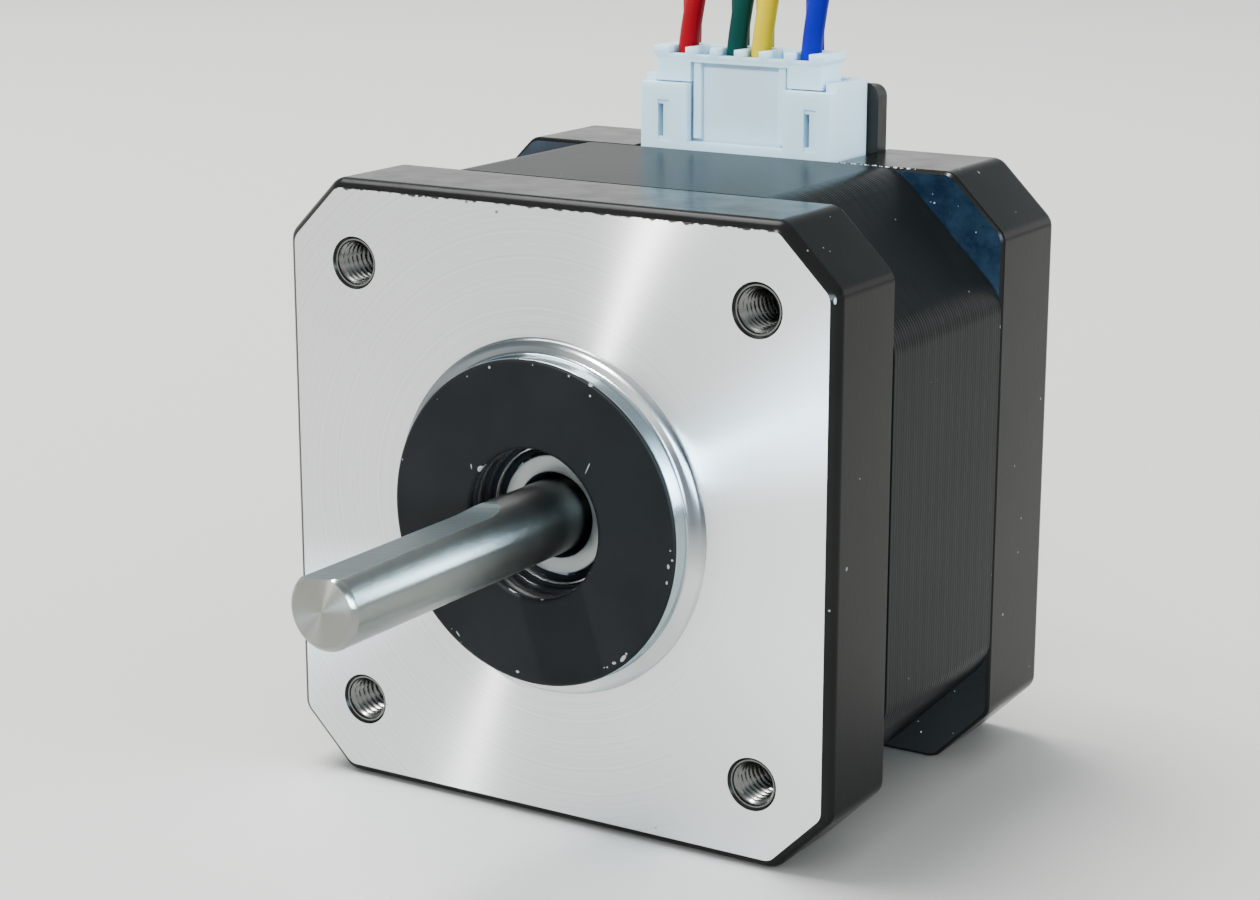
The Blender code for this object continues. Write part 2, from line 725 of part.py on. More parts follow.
def add_shaft():
    """The shaft with its chamfered ends and the ground flat."""
    shaft = turned("shaft", [
        (0.0, SHAFT_TIP), (SHAFT_R - SHAFT_CHAMFER, SHAFT_TIP),
        (SHAFT_R, SHAFT_TIP + SHAFT_CHAMFER), (SHAFT_R, SHAFT_END - SHAFT_CHAMFER),
        (SHAFT_R - SHAFT_CHAMFER, SHAFT_END), (0.0, SHAFT_END),
    ], 32, closed=False)
    place(shaft, STEEL, ROTOR)
    level = SHAFT_R - FLAT_DEPTH
    start = SHAFT_TIP - OUTSIDE
    above = SHAFT_R + OUTSIDE
    outline = [(start, level), (FLAT_END, level)]
    for step in range(1, 5):
        x, y = polar(FLAT_RUNOUT_R, -90.0 + FLAT_RUNOUT_SWEEP * step / 4)
        outline.append((FLAT_END + x, level + FLAT_RUNOUT_R + y))
    outline += [(outline[-1][0], above), (start, above)]
    flat = bpy.data.objects.new("shaft_flat", outline_mesh("shaft_flat", [outline], 8.0))
    upright = Euler((math.pi / 2.0, 0.0, math.pi / 2.0)).to_matrix()
    tilt = Euler((0.0, FLAT_TILT, 0.0)).to_matrix()
    flat.rotation_euler = (tilt @ upright).to_euler()
    cut(shaft, place_cutter(flat, ROTOR))
    smooth(shaft)


def add_rotor_core():
    """Two toothed cups half a tooth apart, with the magnet between them."""
    bore = circle(INNER_BORE_R, 24)
    first_end = ROTOR_START + CUP_LENGTH
    second_start = first_end + MAGNET_LENGTH + 2.0 * MAGNET_GAP
    front = plate("rotor_cup_front", [rotor_rim(0.0), bore], ROTOR_START, first_end)
    rear = plate("rotor_cup_rear", [rotor_rim(TOOTH_PITCH / 2.0), bore],
                 second_start, second_start + CUP_LENGTH)
    magnet_start = first_end + MAGNET_GAP
    magnet_end = magnet_start + MAGNET_LENGTH
    magnet = turned("rotor_magnet", [
        (MAGNET_R, magnet_start), (MAGNET_R, magnet_end),
        (INNER_BORE_R, magnet_end), (INNER_BORE_R, magnet_start),
    ], 24)
    place(front, LAMINATION, ROTOR)
    place(rear, LAMINATION, ROTOR)
    place(magnet, MAGNET, ROTOR)
    smooth(magnet)


def add_spacer(name, front, back):
    """A sleeve on the shaft between a bearing and the rotor core."""
    sleeve = turned(name, [
        (SPACER_R, front), (SPACER_R, back), (INNER_BORE_R, back), (INNER_BORE_R, front),
    ], 24)
    place(sleeve, STEEL, ROTOR)
    smooth(sleeve)


# ---------------------------------------------------------------- connector

def position_x(index):
    return (index - (POSITIONS - 1) / 2.0) * PITCH


def add_socket():
    """Shrouded six-way socket with a window and two slots in its front wall."""
    inside = SOCKET_HALF - SOCKET_WALL
    wall_back = SOCKET_FRONT + SOCKET_WALL
    ahead = SOCKET_FRONT - OUTSIDE
    above = SOCKET_TOP + OUTSIDE
    floor = SOCKET_BASE + SOCKET_FLOOR
    socket = boxes("connector_socket", [
        ((-SOCKET_HALF, SOCKET_FRONT, SOCKET_BASE), (SOCKET_HALF, SOCKET_REAR, SOCKET_TOP)),
    ])
    cavity = boxes("socket_cavity", [
        ((-inside, wall_back, floor), (inside, SOCKET_REAR - SOCKET_WALL, above)),
    ])
    openings = [((-WINDOW_HALF, ahead, WINDOW_SILL), (WINDOW_HALF, wall_back + 0.1, above))]
    for x in (-SLOT_X, SLOT_X):
        low = (x - SLOT_HALF, ahead, SLOT_BOTTOM)
        openings.append((low, (x + SLOT_HALF, wall_back + 0.1, SLOT_TOP)))
    for index in range(POSITIONS):
        x = position_x(index)
        low = (x - PIN_HOLE_HALF, PIN_Y - PIN_HOLE_HALF, SOCKET_BASE - OUTSIDE)
        openings.append((low, (x + PIN_HOLE_HALF, PIN_Y + PIN_HOLE_HALF, floor + 0.1)))
    step = boxes("socket_step", [
        ((-SOCKET_HALF - OUTSIDE, ahead, SOCKET_FRONT_TOP),
         (SOCKET_HALF + OUTSIDE, wall_back + 0.05, above)),
    ])
    place(socket, NYLON, STATOR)
    cut(socket, place_cutter(cavity, STATOR))
    cut(socket, place_cutter(boxes("socket_openings", openings), STATOR))
    cut(socket, place_cutter(step, STATOR))


def add_pins():
    """Six bent pins from the lead board up into the socket."""
    for index in range(POSITIONS):
        left = position_x(index) - PIN_HALF
        right = position_x(index) + PIN_HALF
        pin = boxes(f"terminal_pin_{index + 1}", [
            ((left, PIN_Y - PIN_HALF, PIN_BOTTOM), (right, PIN_Y + PIN_HALF, PIN_TOP)),
        ])
        leg = boxes(f"pin_leg_{index + 1}", [
            ((left, PIN_Y, PIN_BOTTOM), (right, PIN_BACK, PIN_BOTTOM + 2.0 * PIN_HALF)),
        ])
        place(pin, BRASS, STATOR)
        cut(pin, place_cutter(leg, STATOR), "UNION")


def add_backing():
    """Black plate that fills the notch behind the socket."""
    corner = [polar(BACKING_CORNER_R, 30.0 * step) for step in range(4)]
    outline = [
        (BACKING_HALF - BACKING_CORNER_R + x, BACKING_TOP - BACKING_CORNER_R + z)
        for x, z in corner
    ]
    outline += [(-x, z) for x, z in reversed(outline)]
    outline += [(-BACKING_HALF, BACKING_BOTTOM), (BACKING_HALF, BACKING_BOTTOM)]
    backing = plate("connector_backing", [outline], BACKING_FRONT, BACKING_BACK)
    place(backing, BLACK_PLASTIC, STATOR)


def add_plug():
    """Six-way plug: a body in the socket, a head above it and a flared lip."""
    plug = boxes("cable_plug", [
        ((-PLUG_HALF, 25.3, 20.4), (PLUG_HALF, 28.9, 27.0)),
    ])
    head = boxes("plug_head", [
        ((-PLUG_HALF - 0.1, 24.8, 26.7), (PLUG_HALF + 0.1, 28.95, 28.1)),
    ])
    lip = boxes("plug_lip", [
        ((-PLUG_HALF - 0.4, 24.55, 28.0), (PLUG_HALF + 0.4, 29.1, PLUG_TOP)),
    ])
    cavities = []
    for index in range(POSITIONS):
        x = position_x(index)
        low = (x - PLUG_WELL_HALF, PIN_Y - PLUG_WELL_HALF, SOCKET_BASE)
        cavities.append((low, (x + PLUG_WELL_HALF, PIN_Y + PLUG_WELL_HALF, PLUG_TOP + OUTSIDE)))
    place(plug, NYLON, STATOR)
    cut(plug, place_cutter(head, STATOR), "UNION")
    cut(plug, place_cutter(lip, STATOR), "UNION")
    cut(plug, place_cutter(boxes("plug_cavities", cavities), STATOR))


def add_contacts():
    """A crimped contact on the end of each wire, open at the bottom for its pin."""
    for colour, index in WIRED.items():
        contact = turned(f"contact_{colour}", [
            (0.0, -CONTACT_LENGTH), (CONTACT_R, -CONTACT_LENGTH), (CONTACT_R, 0.0),
            (CONTACT_BORE_R, 0.0), (CONTACT_BORE_R, 0.7 - CONTACT_LENGTH),
            (0.0, 0.7 - CONTACT_LENGTH),
        ], 8, closed=False)
        contact.rotation_euler = (0.0, 0.0, 0.0)
        contact.location = Vector((position_x(index), PIN_Y, CONTACT_BASE)) * MM
        place(contact, BRASS, STATOR)


# ---------------------------------------------------------------- lead

def wire_shares():
    """Colour to (x at the plug, place in the coil), from the outside of the bend inwards."""
    colours = ["red", "green", "yellow", "blue"]
    return {
        colour: (position_x(WIRED[colour]), (rank - 1.5) * WIRE_PITCH)
        for rank, colour in enumerate(colours)
    }


def add_wires():
    """The wires from the plug, over the motor and down to the coil, and from it to the housing."""
    for colour, (plug_x, apart) in wire_shares().items():
        lead = [
            (x + fan * plug_x + dx * apart, y, z + dz * apart)
            for x, y, z, fan, dx, dz in LEAD_ROUTE
        ]
        tail = [
            (COIL_CENTRE[0] + x + dx * apart, COIL_CENTRE[1] + y + dy * apart, z + dz * apart)
            for x, y, z, dx, dy, dz in TAIL_ROUTE
        ]
        finish = (f"wire_{colour}", WIRE_COLOURS[colour], 0.4, 0.0)
        place(tube(f"wire_{colour}", lead, WIRE_R, WIRE_STEP), finish, STATOR)
        place(tube(f"wire_{colour}_tail", tail, WIRE_R, WIRE_STEP), finish, STATOR)


def add_cable_coil():
    """The wound-up part of the lead, as one ring on the floor."""
    low = COIL_MIDDLE_Z - COIL_HALF_HEIGHT
    high = COIL_MIDDLE_Z + COIL_HALF_HEIGHT
    coil = turned("cable_coil", [
        (COIL_OUTER, -high), (COIL_OUTER, -low), (COIL_INNER, -low), (COIL_INNER, -high),
    ], 40)
    coil.rotation_euler = (0.0, 0.0, 0.0)
    coil.location = Vector((*COIL_CENTRE, 0.0)) * MM
    place(coil, BUNDLE, STATOR)
    smooth(coil)


def add_cable_tie():
    """A tie round the coil on its far side."""
    near = COIL_INNER - TIE_GAP
    far = COIL_OUTER + TIE_GAP
    low = COIL_MIDDLE_Z - COIL_HALF_HEIGHT - TIE_GAP
    high = COIL_MIDDLE_Z + COIL_HALF_HEIGHT + TIE_GAP
    head = far + TIE_BAND + TIE_HEAD
    window = [(near, low), (far, low), (far, high), (near, high)]
    outline = [
        (near - TIE_BAND, low - TIE_BAND), (far + TIE_BAND, low - TIE_BAND),
        (far + TIE_BAND, high - TIE_WIDTH), (head, high - TIE_WIDTH),
        (head, high + TIE_BAND), (near - TIE_BAND, high + TIE_BAND),
    ]
    tie_mesh = outline_mesh("cable_tie", [outline, window], TIE_WIDTH)
    tie = bpy.data.objects.new("cable_tie", tie_mesh)
    tie.rotation_euler = (math.pi / 2.0, 0.0, math.pi / 2.0)
    tie.location = Vector((*COIL_CENTRE, 0.0)) * MM
    place(tie, BLACK_PLASTIC, STATOR)


def add_far_housing():
    """Four-way housing on the lead's far end, lying inside the coil."""
    x, y, z = TAIL_ROUTE[-1][:3]
    width, length, height = HOUSING_SIZE
    housing = boxes("lead_housing", [
        ((HOUSING_GAP, -width / 2.0, -height / 2.0),
         (HOUSING_GAP + length, width / 2.0, height / 2.0)),
    ])
    housing.rotation_euler = (0.0, 0.0, math.radians(-45.0))
    housing.location = Vector((COIL_CENTRE[0] + x, COIL_CENTRE[1] + y, z)) * MM
    place(housing, BLACK_PLASTIC, STATOR)


# ---------------------------------------------------------------- build

clear_scene()
PARTS = new_collection("stepper_motor")
CUTTERS = new_collection("cutters")
STATOR = new_empty("stator_axis", 0.0)
ROTOR = new_empty("rotor_axis", 0.0)
FRONT_BALLS = new_empty("front_balls_axis", FRONT_BEARING + BEARING_WIDTH / 2.0)
REAR_BALLS = new_empty("rear_balls_axis", REAR_BEARING + BEARING_WIDTH / 2.0)

add_front_bell()
add_stack()
add_rear_bell()
add_screws()
add_bobbin("front_bobbin", BELL_DEPTH - 0.1, -1.0)
add_bobbin("rear_bobbin", STACK_END + 0.1, 1.0)
add_coils()
add_lead_board()
add_bearing("front", FRONT_BEARING, FRONT_BALLS)
add_bearing("rear", REAR_BEARING, REAR_BALLS)
add_wave_washer()
add_shaft()
add_rotor_core()
add_spacer("front_spacer", FRONT_BEARING + BEARING_WIDTH + 0.1, ROTOR_START - 0.1)
add_spacer("rear_spacer", ROTOR_END + 0.1, REAR_BEARING - 0.1)
add_socket()
add_pins()
add_backing()
add_plug()
add_contacts()
add_wires()
add_cable_coil()
add_cable_tie()
add_far_housing()
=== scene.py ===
import math

import bmesh
import bpy
from mathutils import Matrix, Vector


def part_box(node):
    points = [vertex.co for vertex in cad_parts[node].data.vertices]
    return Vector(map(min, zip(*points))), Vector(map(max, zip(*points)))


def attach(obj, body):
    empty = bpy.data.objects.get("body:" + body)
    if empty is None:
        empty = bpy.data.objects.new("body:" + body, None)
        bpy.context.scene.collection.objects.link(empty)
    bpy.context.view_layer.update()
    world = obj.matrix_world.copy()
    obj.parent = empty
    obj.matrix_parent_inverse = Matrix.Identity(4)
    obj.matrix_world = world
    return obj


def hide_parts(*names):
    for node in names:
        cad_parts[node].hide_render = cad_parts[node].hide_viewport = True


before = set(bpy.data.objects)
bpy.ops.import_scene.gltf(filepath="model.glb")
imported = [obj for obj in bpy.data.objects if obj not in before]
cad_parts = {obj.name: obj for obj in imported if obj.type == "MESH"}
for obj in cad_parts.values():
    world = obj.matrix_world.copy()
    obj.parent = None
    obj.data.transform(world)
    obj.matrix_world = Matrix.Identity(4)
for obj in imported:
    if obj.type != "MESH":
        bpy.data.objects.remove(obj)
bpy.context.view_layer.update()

# Everything below is in millimetres in the motor's own frame: the shaft axis is x = z = 0, the
# mounting face is y = 0 and y grows towards the back.
MM = 0.001
BOSS_HEIGHT = 2.0
BELL_LOW, BELL_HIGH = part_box("front_end_bell")
STACK_LOW, STACK_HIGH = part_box("stator_stack")
REAR_LOW, REAR_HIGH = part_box("rear_end_bell")
FACE_Y = BELL_LOW.y + BOSS_HEIGHT * MM
AXIS_Z = (STACK_LOW.z + STACK_HIGH.z) / 2.0
TO_ROW = Matrix.Translation((0.0, FACE_Y, AXIS_Z)) @ Matrix.Scale(MM, 4)

HALF = (STACK_HIGH.x - STACK_LOW.x) / 2.0 / MM
BELL_BACK = (BELL_HIGH.y - FACE_Y) / MM
STACK_FRONT = (STACK_LOW.y - FACE_Y) / MM
STACK_BACK = (STACK_HIGH.y - FACE_Y) / MM
REAR_FRONT = (REAR_LOW.y - FACE_Y) / MM
BODY_BACK = (REAR_HIGH.y - FACE_Y) / MM
BELL_CHAMFER = 4.05
STACK_CHAMFER = 8.15
BELL_CORNER_R = 1.3
STACK_CORNER_R = 3.5
SCREW_OFFSET = 15.5
FACE_INSET = 0.62
BOSS_R = 11.0
ROOT_R = 12.06
HOLE_EDGE_R = 1.6
POCKET_R = 18.8
SEAT_R = 8.0
SEAT_WALL_R = 10.0
REAR_ROUNDING = 0.95
THREAD_PITCH = 0.5
THREAD_MAJOR_R = 1.52
THREAD_MINOR_R = 1.24
THREAD_OUTER_R = 1.62
THREAD_START = 0.16
SHEET = 0.36
GROOVE = 0.009
SHAFT_R = 2.5
FLAT_DEPTH = 0.5
FLAT_END = -8.45
FLAT_RUNOUT_R = 6.0
FLAT_RUNOUT_SWEEP = 30.0
FLAT_TILT = math.radians(-7.0)
SHAFT_TIP = (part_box("shaft")[0].y - FACE_Y) / MM
SHAFT_END = (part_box("shaft")[1].y - FACE_Y) / MM
ROUND = 128  # corners in a shaft or bearing circle
FRONT_BEARING = 0.8
REAR_BEARING = 25.9
BEARING_WIDTH = 5.0
PIN_Y = 26.4
PITCH = 2.0
WIRED = {"red": 0, "green": 2, "yellow": 3, "blue": 5}
SLOT_X = 5.95
WAYS = 6
WELL_TOP = 28.4
WIRE_R = 0.75
WIRE_PITCH = 1.7
COIL_CENTRE = (-20.0, 64.1)
COIL_FIRST_R = 21.2
COIL_STEP = 1.6
COIL_TURNS = 3.25
COIL_JOG = 1.85
COIL_MIDDLE_Z = -17.05
COIL_HALF_HEIGHT = 3.35

VIEW_LENS = 76.77
VIEW_AZIMUTH = math.radians(31.75)
VIEW_ELEVATION = math.radians(14.29)
VIEW_PLACE = (94.07, -141.79, 47.91)

WIRE_COLOURS = {
    "red": (0.26, 0.0, 0.007),
    "green": (0.0, 0.042, 0.036),
    "yellow": (0.60, 0.46, 0.0),
    "blue": (0.0, 0.003, 0.33),
}

# Chips and scratches on the boss: x, z, half length, half width and slope in degrees.
BOSS_MARKS = [
    (-4.00, 3.20, 0.34, 0.22, 40.0),
    (-4.70, 3.25, 0.22, 0.05, 100.0),
    (4.35, 4.35, 0.50, 0.05, 65.0),
    (7.05, -7.90, 0.34, 0.14, 48.0),
    (6.35, -8.35, 0.16, 0.10, 20.0),
    (10.40, -1.20, 0.20, 0.12, 90.0),
    (10.30, -2.30, 0.14, 0.08, 80.0),
    (-6.00, -8.50, 0.26, 0.06, 130.0),
    (-1.20, -10.30, 0.16, 0.10, 0.0),
]

# The wires' route, as in part.py: x, y, z of the bundle, how far the wires fan out as at the
# plug, then how far they lie apart in x and in z as in the coil.
LEAD_ROUTE = [
    (0.00, 26.40, 25.90, 1.00, 0.00, 0.00),
    (0.00, 26.40, 28.40, 1.00, 0.00, 0.00),
    (0.40, 26.50, 31.50, 0.99, 0.00, 0.00),
    (0.80, 26.90, 35.00, 0.99, 0.00, 0.00),
    (0.15, 28.30, 39.40, 1.00, 0.00, 0.00),
    (-1.70, 31.40, 42.90, 1.02, 0.00, 0.00),
    (-4.40, 35.60, 44.20, 1.05, 0.00, 0.00),
    (-7.00, 39.80, 42.90, 1.08, 0.00, 0.00),
    (-8.90, 42.80, 39.20, 1.10, 0.00, 0.00),
    (-9.60, 44.00, 34.00, 1.10, 0.00, 0.00),
    (-9.60, 44.10, 28.00, 1.10, 0.00, 0.00),
    (-9.60, 44.00, 22.50, 1.10, 0.00, 0.00),
    (-9.90, 43.80, 16.00, 0.75, 0.25, 0.00),
    (-10.20, 43.20, 9.00, 0.35, 0.65, 0.00),
    (-10.50, 42.40, 2.00, 0.08, 0.92, 0.00),
    (-10.70, 41.60, -4.50, 0.00, 1.00, 0.00),
    (-10.70, 41.15, -9.05, 0.00, 1.00, 0.00),
    (-11.77, 41.05, -13.05, 0.00, 0.87, -0.50),
    (-14.70, 41.05, -15.98, 0.00, 0.50, -0.87),
    (-18.70, 41.05, -17.05, 0.00, 0.00, -1.00),
]

# x, y of the bundle from the coil's middle, z, then how far the wires lie apart in x, y and z.
TAIL_ROUTE = [
    (-14.15, 0.00, -17.05, 0.00, 0.00, -1.00),
    (-13.00, 4.30, -17.15, 0.00, 0.00, -1.00),
    (-9.85, 7.45, -17.60, -0.17, 0.30, -0.90),
    (-5.55, 8.60, -18.60, 0.00, 0.90, -0.60),
    (-1.92, 7.79, -19.40, 0.55, 1.18, -0.20),
    (0.53, 6.08, -19.85, 1.056, 1.056, 0.00),
    (1.95, 4.66, -19.85, 1.056, 1.056, 0.00),
]


# ---------------------------------------------------------------- shader nodes

class Shading:
    """The node tree of a world or a material, with short ways to add nodes to it."""

    def __init__(self, owner):
        owner.use_nodes = True
        self.tree = owner.node_tree

    def join(self, socket, value):
        """Link a socket to another node's output, or set it to a plain value."""
        if isinstance(value, bpy.types.NodeSocket):
            self.tree.links.new(value, socket)
        elif socket.type == "RGBA":
            socket.default_value = (*value, 1.0)
        else:
            socket.default_value = value

    def put(self, node, **inputs):
        """Join inputs by name, with _ for each space."""
        for name, value in inputs.items():
            self.join(node.inputs[name.replace("_", " ")], value)

    def add(self, kind, **inputs):
        node = self.tree.nodes.new("ShaderNode" + kind)
        self.put(node, **inputs)
        return node

    def math(self, operation, first, second=0.0):
        node = self.add("Math")
        node.operation = operation
        self.join(node.inputs[0], first)
        self.join(node.inputs[1], second)
        return node.outputs["Value"]

    def mix(self, factor, first, second):
        node = self.add("Mix")
        node.data_type = "RGBA"
        self.join(node.inputs["Factor"], factor)
        self.join(node.inputs[6], first)
        self.join(node.inputs[7], second)
        return node.outputs[2]

    def ramp(self, source, stops):
        """A colour ramp: stops are (position, colour or grey value)."""
        node = self.add("ValToRGB", Fac=source)
        elements = node.color_ramp.elements
        while len(elements) < len(stops):
            elements.new(0.5)
        for element, (position, colour) in zip(elements, stops):
            element.position = position
            if isinstance(colour, float):
                colour = (colour, colour, colour)
            element.color = (*colour, 1.0)
        return node.outputs["Color"]


class Look(Shading):
    """A material: its Principled shader, and each point's place in metres."""

    def __init__(self, name):
        self.material = bpy.data.materials.new(name)
        super().__init__(self.material)
        self.shader = self.tree.nodes["Principled BSDF"]
        self.source = self.add("TexCoord").outputs["Object"]
        self.x, self.y, height = self.add("SeparateXYZ", Vector=self.source).outputs
        self.up = self.math("SUBTRACT", height, AXIS_Z)
        squares = [self.math("MULTIPLY", side, side) for side in (self.x, self.up)]
        self.radius = self.math("SQRT", self.math("ADD", *squares))

    def shade(self, **inputs):
        self.put(self.shader, **inputs)

    def cover(self, mask, colour):
        """Lay another colour over the base colour where the mask is."""
        under = self.shader.inputs["Base Color"].links[0].from_socket
        self.shade(Base_Color=self.mix(mask, under, colour))

    def noise(self, scale, detail=4.0, roughness=0.5):
        node = self.add("TexNoise", Vector=self.source, Scale=scale, Detail=detail, Roughness=roughness)
        return node.outputs["Fac"]

    def lines(self, along, scale, detail=2.0):
        """Fine marks that follow one another along a distance."""
        node = self.add("TexNoise", Scale=scale, Detail=detail)
        node.noise_dimensions = "1D"
        self.put(node, W=along)
        return node.outputs["Fac"]

    def specks(self, scale, threshold):
        """A mask of small scattered specks."""
        cells = self.add("TexVoronoi", Vector=self.source, Scale=scale)
        size = self.math("SUBTRACT", self.noise(scale * 0.35, 2.0), threshold)
        return self.math("LESS_THAN", cells.outputs["Distance"], self.math("MULTIPLY", size, 0.9))

    def marks(self, places):
        """A mask of worn spots and scratches: x, z, half length, half width and slope of each."""
        edge = self.math("MULTIPLY", self.noise(2500.0, 3.0), 1.6)
        found = 0.0
        for x, z, half_length, half_width, degrees in places:
            across = self.math("SUBTRACT", self.x, x * MM)
            up = self.math("SUBTRACT", self.up, z * MM)
            total = edge
            for shift, reach in ((0.0, half_length), (90.0, half_width)):
                cosine, sine = polar(1.0 / (reach * MM), degrees + shift)
                part = self.math("ADD", self.math("MULTIPLY", across, cosine),
                                 self.math("MULTIPLY", up, sine))
                total = self.math("ADD", total, self.math("MULTIPLY", part, part))
            found = self.math("MAXIMUM", found, self.math("LESS_THAN", total, 1.5))
        return found

    def bumps(self, height, distance, strength):
        node = self.add("Bump", Height=height, Distance=distance, Strength=strength)
        self.shade(Normal=node.outputs["Normal"])

    def turn_marks(self, amount):
        """Stretch highlights across circular tool marks about the shaft axis."""
        tangent = self.add("Tangent")
        tangent.direction_type = "RADIAL"
        tangent.axis = "Y"
        self.shade(Tangent=tangent.outputs["Tangent"], Anisotropic=amount, Anisotropic_Rotation=0.25)


# ---------------------------------------------------------------- camera, light and floor

def add_camera():
    """A camera close in front, above and to the right of the motor."""
    data = bpy.data.cameras.new("camera")
    data.lens = VIEW_LENS
    data.sensor_width = 36.0
    data.clip_start = 0.01
    camera = bpy.data.objects.new("camera", data)
    bpy.context.scene.collection.objects.link(camera)
    forward = Vector((-math.sin(VIEW_AZIMUTH) * math.cos(VIEW_ELEVATION),
                      math.cos(VIEW_AZIMUTH) * math.cos(VIEW_ELEVATION), -math.sin(VIEW_ELEVATION)))
    camera.location = TO_ROW @ Vector(VIEW_PLACE)
    camera.rotation_euler = forward.to_track_quat("-Z", "Y").to_euler()
    bpy.context.scene.camera = camera


def add_area_light(name, location, target, size, power, colour=(1.0, 1.0, 1.0)):
    """A rectangular light, placed and sized in metres, that faces its target."""
    data = bpy.data.lights.new(name, "AREA")
    data.shape = "RECTANGLE"
    data.size, data.size_y = size
    data.energy = power
    data.color = colour
    light = bpy.data.objects.new(name, data)
    light.location = location
    light.rotation_euler = (Vector(target) - Vector(location)).to_track_quat("-Z", "Y").to_euler()
    bpy.context.scene.collection.objects.link(light)
    return light


def aim(light, state, *objects):
    """Keep a light on these objects only (INCLUDE), or off them (EXCLUDE)."""
    receivers = bpy.data.collections.new(f"{light.name}_receivers")
    for obj in objects:
        receivers.objects.link(obj)
    for link in receivers.collection_objects:
        link.light_linking.link_state = state
    light.light_linking.receiver_collection = receivers


def add_world():
    """Studio surroundings: a bright horizon, a dimmer belt above it and a bright top."""
    world = bpy.data.worlds.new("studio")
    shading = Shading(world)
    direction = shading.add("TexCoord").outputs["Generated"]
    height = shading.add("SeparateXYZ", Vector=direction).outputs["Z"]
    sky = shading.ramp(height, [
        (0.0, (0.80, 0.80, 0.77)), (0.06, (1.60, 1.62, 1.58)), (0.22, (1.60, 1.63, 1.60)),
        (0.38, (0.56, 0.65, 0.68)), (0.60, (0.44, 0.51, 0.54)), (1.0, (1.05, 1.07, 1.09)),
    ])
    shading.put(shading.tree.nodes["Background"], Color=sky, Strength=1.0)
    bpy.context.scene.world = world


def add_floor():
    bm = bmesh.new()
    bmesh.ops.create_grid(bm, x_segments=2, y_segments=2, size=3.0)
    mesh = bpy.data.meshes.new("floor")
    bm.to_mesh(mesh)
    bm.free()
    floor = bpy.data.objects.new("floor", mesh)
    bpy.context.scene.collection.objects.link(floor)
    look = Look("floor")
    look.shade(Base_Color=(0.77, 0.762, 0.722), Roughness=0.6)
    mesh.materials.append(look.material)
    return floor


# ---------------------------------------------------------------- materials

def black_paint():
    """Satin black paint with fine orange peel and a little pale dust."""
    look = Look("black_paint")
    base = look.ramp(look.noise(90.0), [(0.35, (0.0040, 0.0038, 0.0034)), (0.7, (0.0062, 0.0058, 0.0052))])
    gloss = look.ramp(look.noise(400.0, 5.0), [(0.3, 0.19), (0.7, 0.26)])
    look.shade(Base_Color=base, Roughness=gloss, Specular_IOR_Level=0.085)
    look.cover(look.specks(1000.0, 0.56), (0.14, 0.14, 0.135))
    look.bumps(look.noise(2600.0, 3.0), 0.00002, 0.3)
    return look


def stack_lacquer():
    """Blue-black lacquer on the edges of the stator sheets."""
    look = Look("stack_lacquer")
    base = look.ramp(look.noise(120.0), [(0.35, (0.0034, 0.0040, 0.0042)), (0.7, (0.0060, 0.0064, 0.0062))])
    look.shade(Base_Color=base, Roughness=0.31, Specular_IOR_Level=0.058)
    look.cover(look.specks(1100.0, 0.57), (0.13, 0.14, 0.145))
    look.bumps(look.noise(1800.0, 3.0), 0.00002, 0.35)
    return look


def machined_face():
    """Face-turned aluminium: circular tool marks, darker pits, black paint ragged along the top, and a
    painted highlight on the right.
    """
    look = Look("machined_face")
    rings = look.lines(look.radius, 5200.0, 3.0)
    tint = look.ramp(rings, [(0.3, (0.69, 0.71, 0.715)), (0.7, (0.78, 0.80, 0.805))])
    look.shade(Base_Color=tint, Roughness=0.27)
    # Painted highlight: the base colour turns light and bluish towards the right of the face, standing in
    # for light reflected there.
    painted_highlight_right = look.ramp(look.math("MULTIPLY", look.x, 50.0), [(0.2, 0.0), (0.95, 1.0)])
    look.cover(painted_highlight_right, (0.95, 0.98, 0.99))
    look.cover(look.specks(950.0, 0.6), (0.25, 0.25, 0.25))
    ragged = look.math("SUBTRACT", look.noise(1300.0, 5.0, 0.65), 0.44)
    from_top = look.math("SUBTRACT", (HALF - FACE_INSET) * MM, look.up)
    painted = look.math("LESS_THAN", from_top, look.math("MULTIPLY", ragged, 0.0008))
    look.cover(painted, (0.012, 0.012, 0.012))
    look.shade(Metallic=look.math("SUBTRACT", 1.0, painted))
    look.turn_marks(1.0)
    look.bumps(rings, 0.000002, 0.3)
    return look


def turned_metal(name, roughness, colour=(0.80, 0.80, 0.80)):
    """Bright turned metal with fine lines round the shaft axis."""
    look = Look(name)
    dull = tuple(0.9 * part for part in colour)
    tint = look.ramp(look.noise(300.0, 3.0), [(0.3, dull), (0.7, colour)])
    look.shade(Base_Color=tint, Metallic=1.0, Roughness=roughness)
    look.bumps(look.lines(look.math("ADD", look.radius, look.y), 9000.0), 0.000004, 0.5)
    return look


def ground_steel():
    """Ground shaft steel: fine lines round the axis, and painted shade that darkens it at the bearing."""
    look = turned_metal("ground_steel", 0.22, (0.26, 0.275, 0.265))
    look.turn_marks(0.95)
    # Painted shade and reflection: the colour darkens towards the boss, standing in for the shaft's shadow
    # there and the black boss mirrored in it.
    ahead = look.math("SUBTRACT", FACE_Y, look.y)
    painted_shade_at_boss = look.ramp(look.math("MULTIPLY", ahead, 100.0), [(0.0, 0.97), (0.20, 0.85), (0.46, 0.0)])
    look.cover(painted_shade_at_boss, (0.035, 0.038, 0.036))
    return look


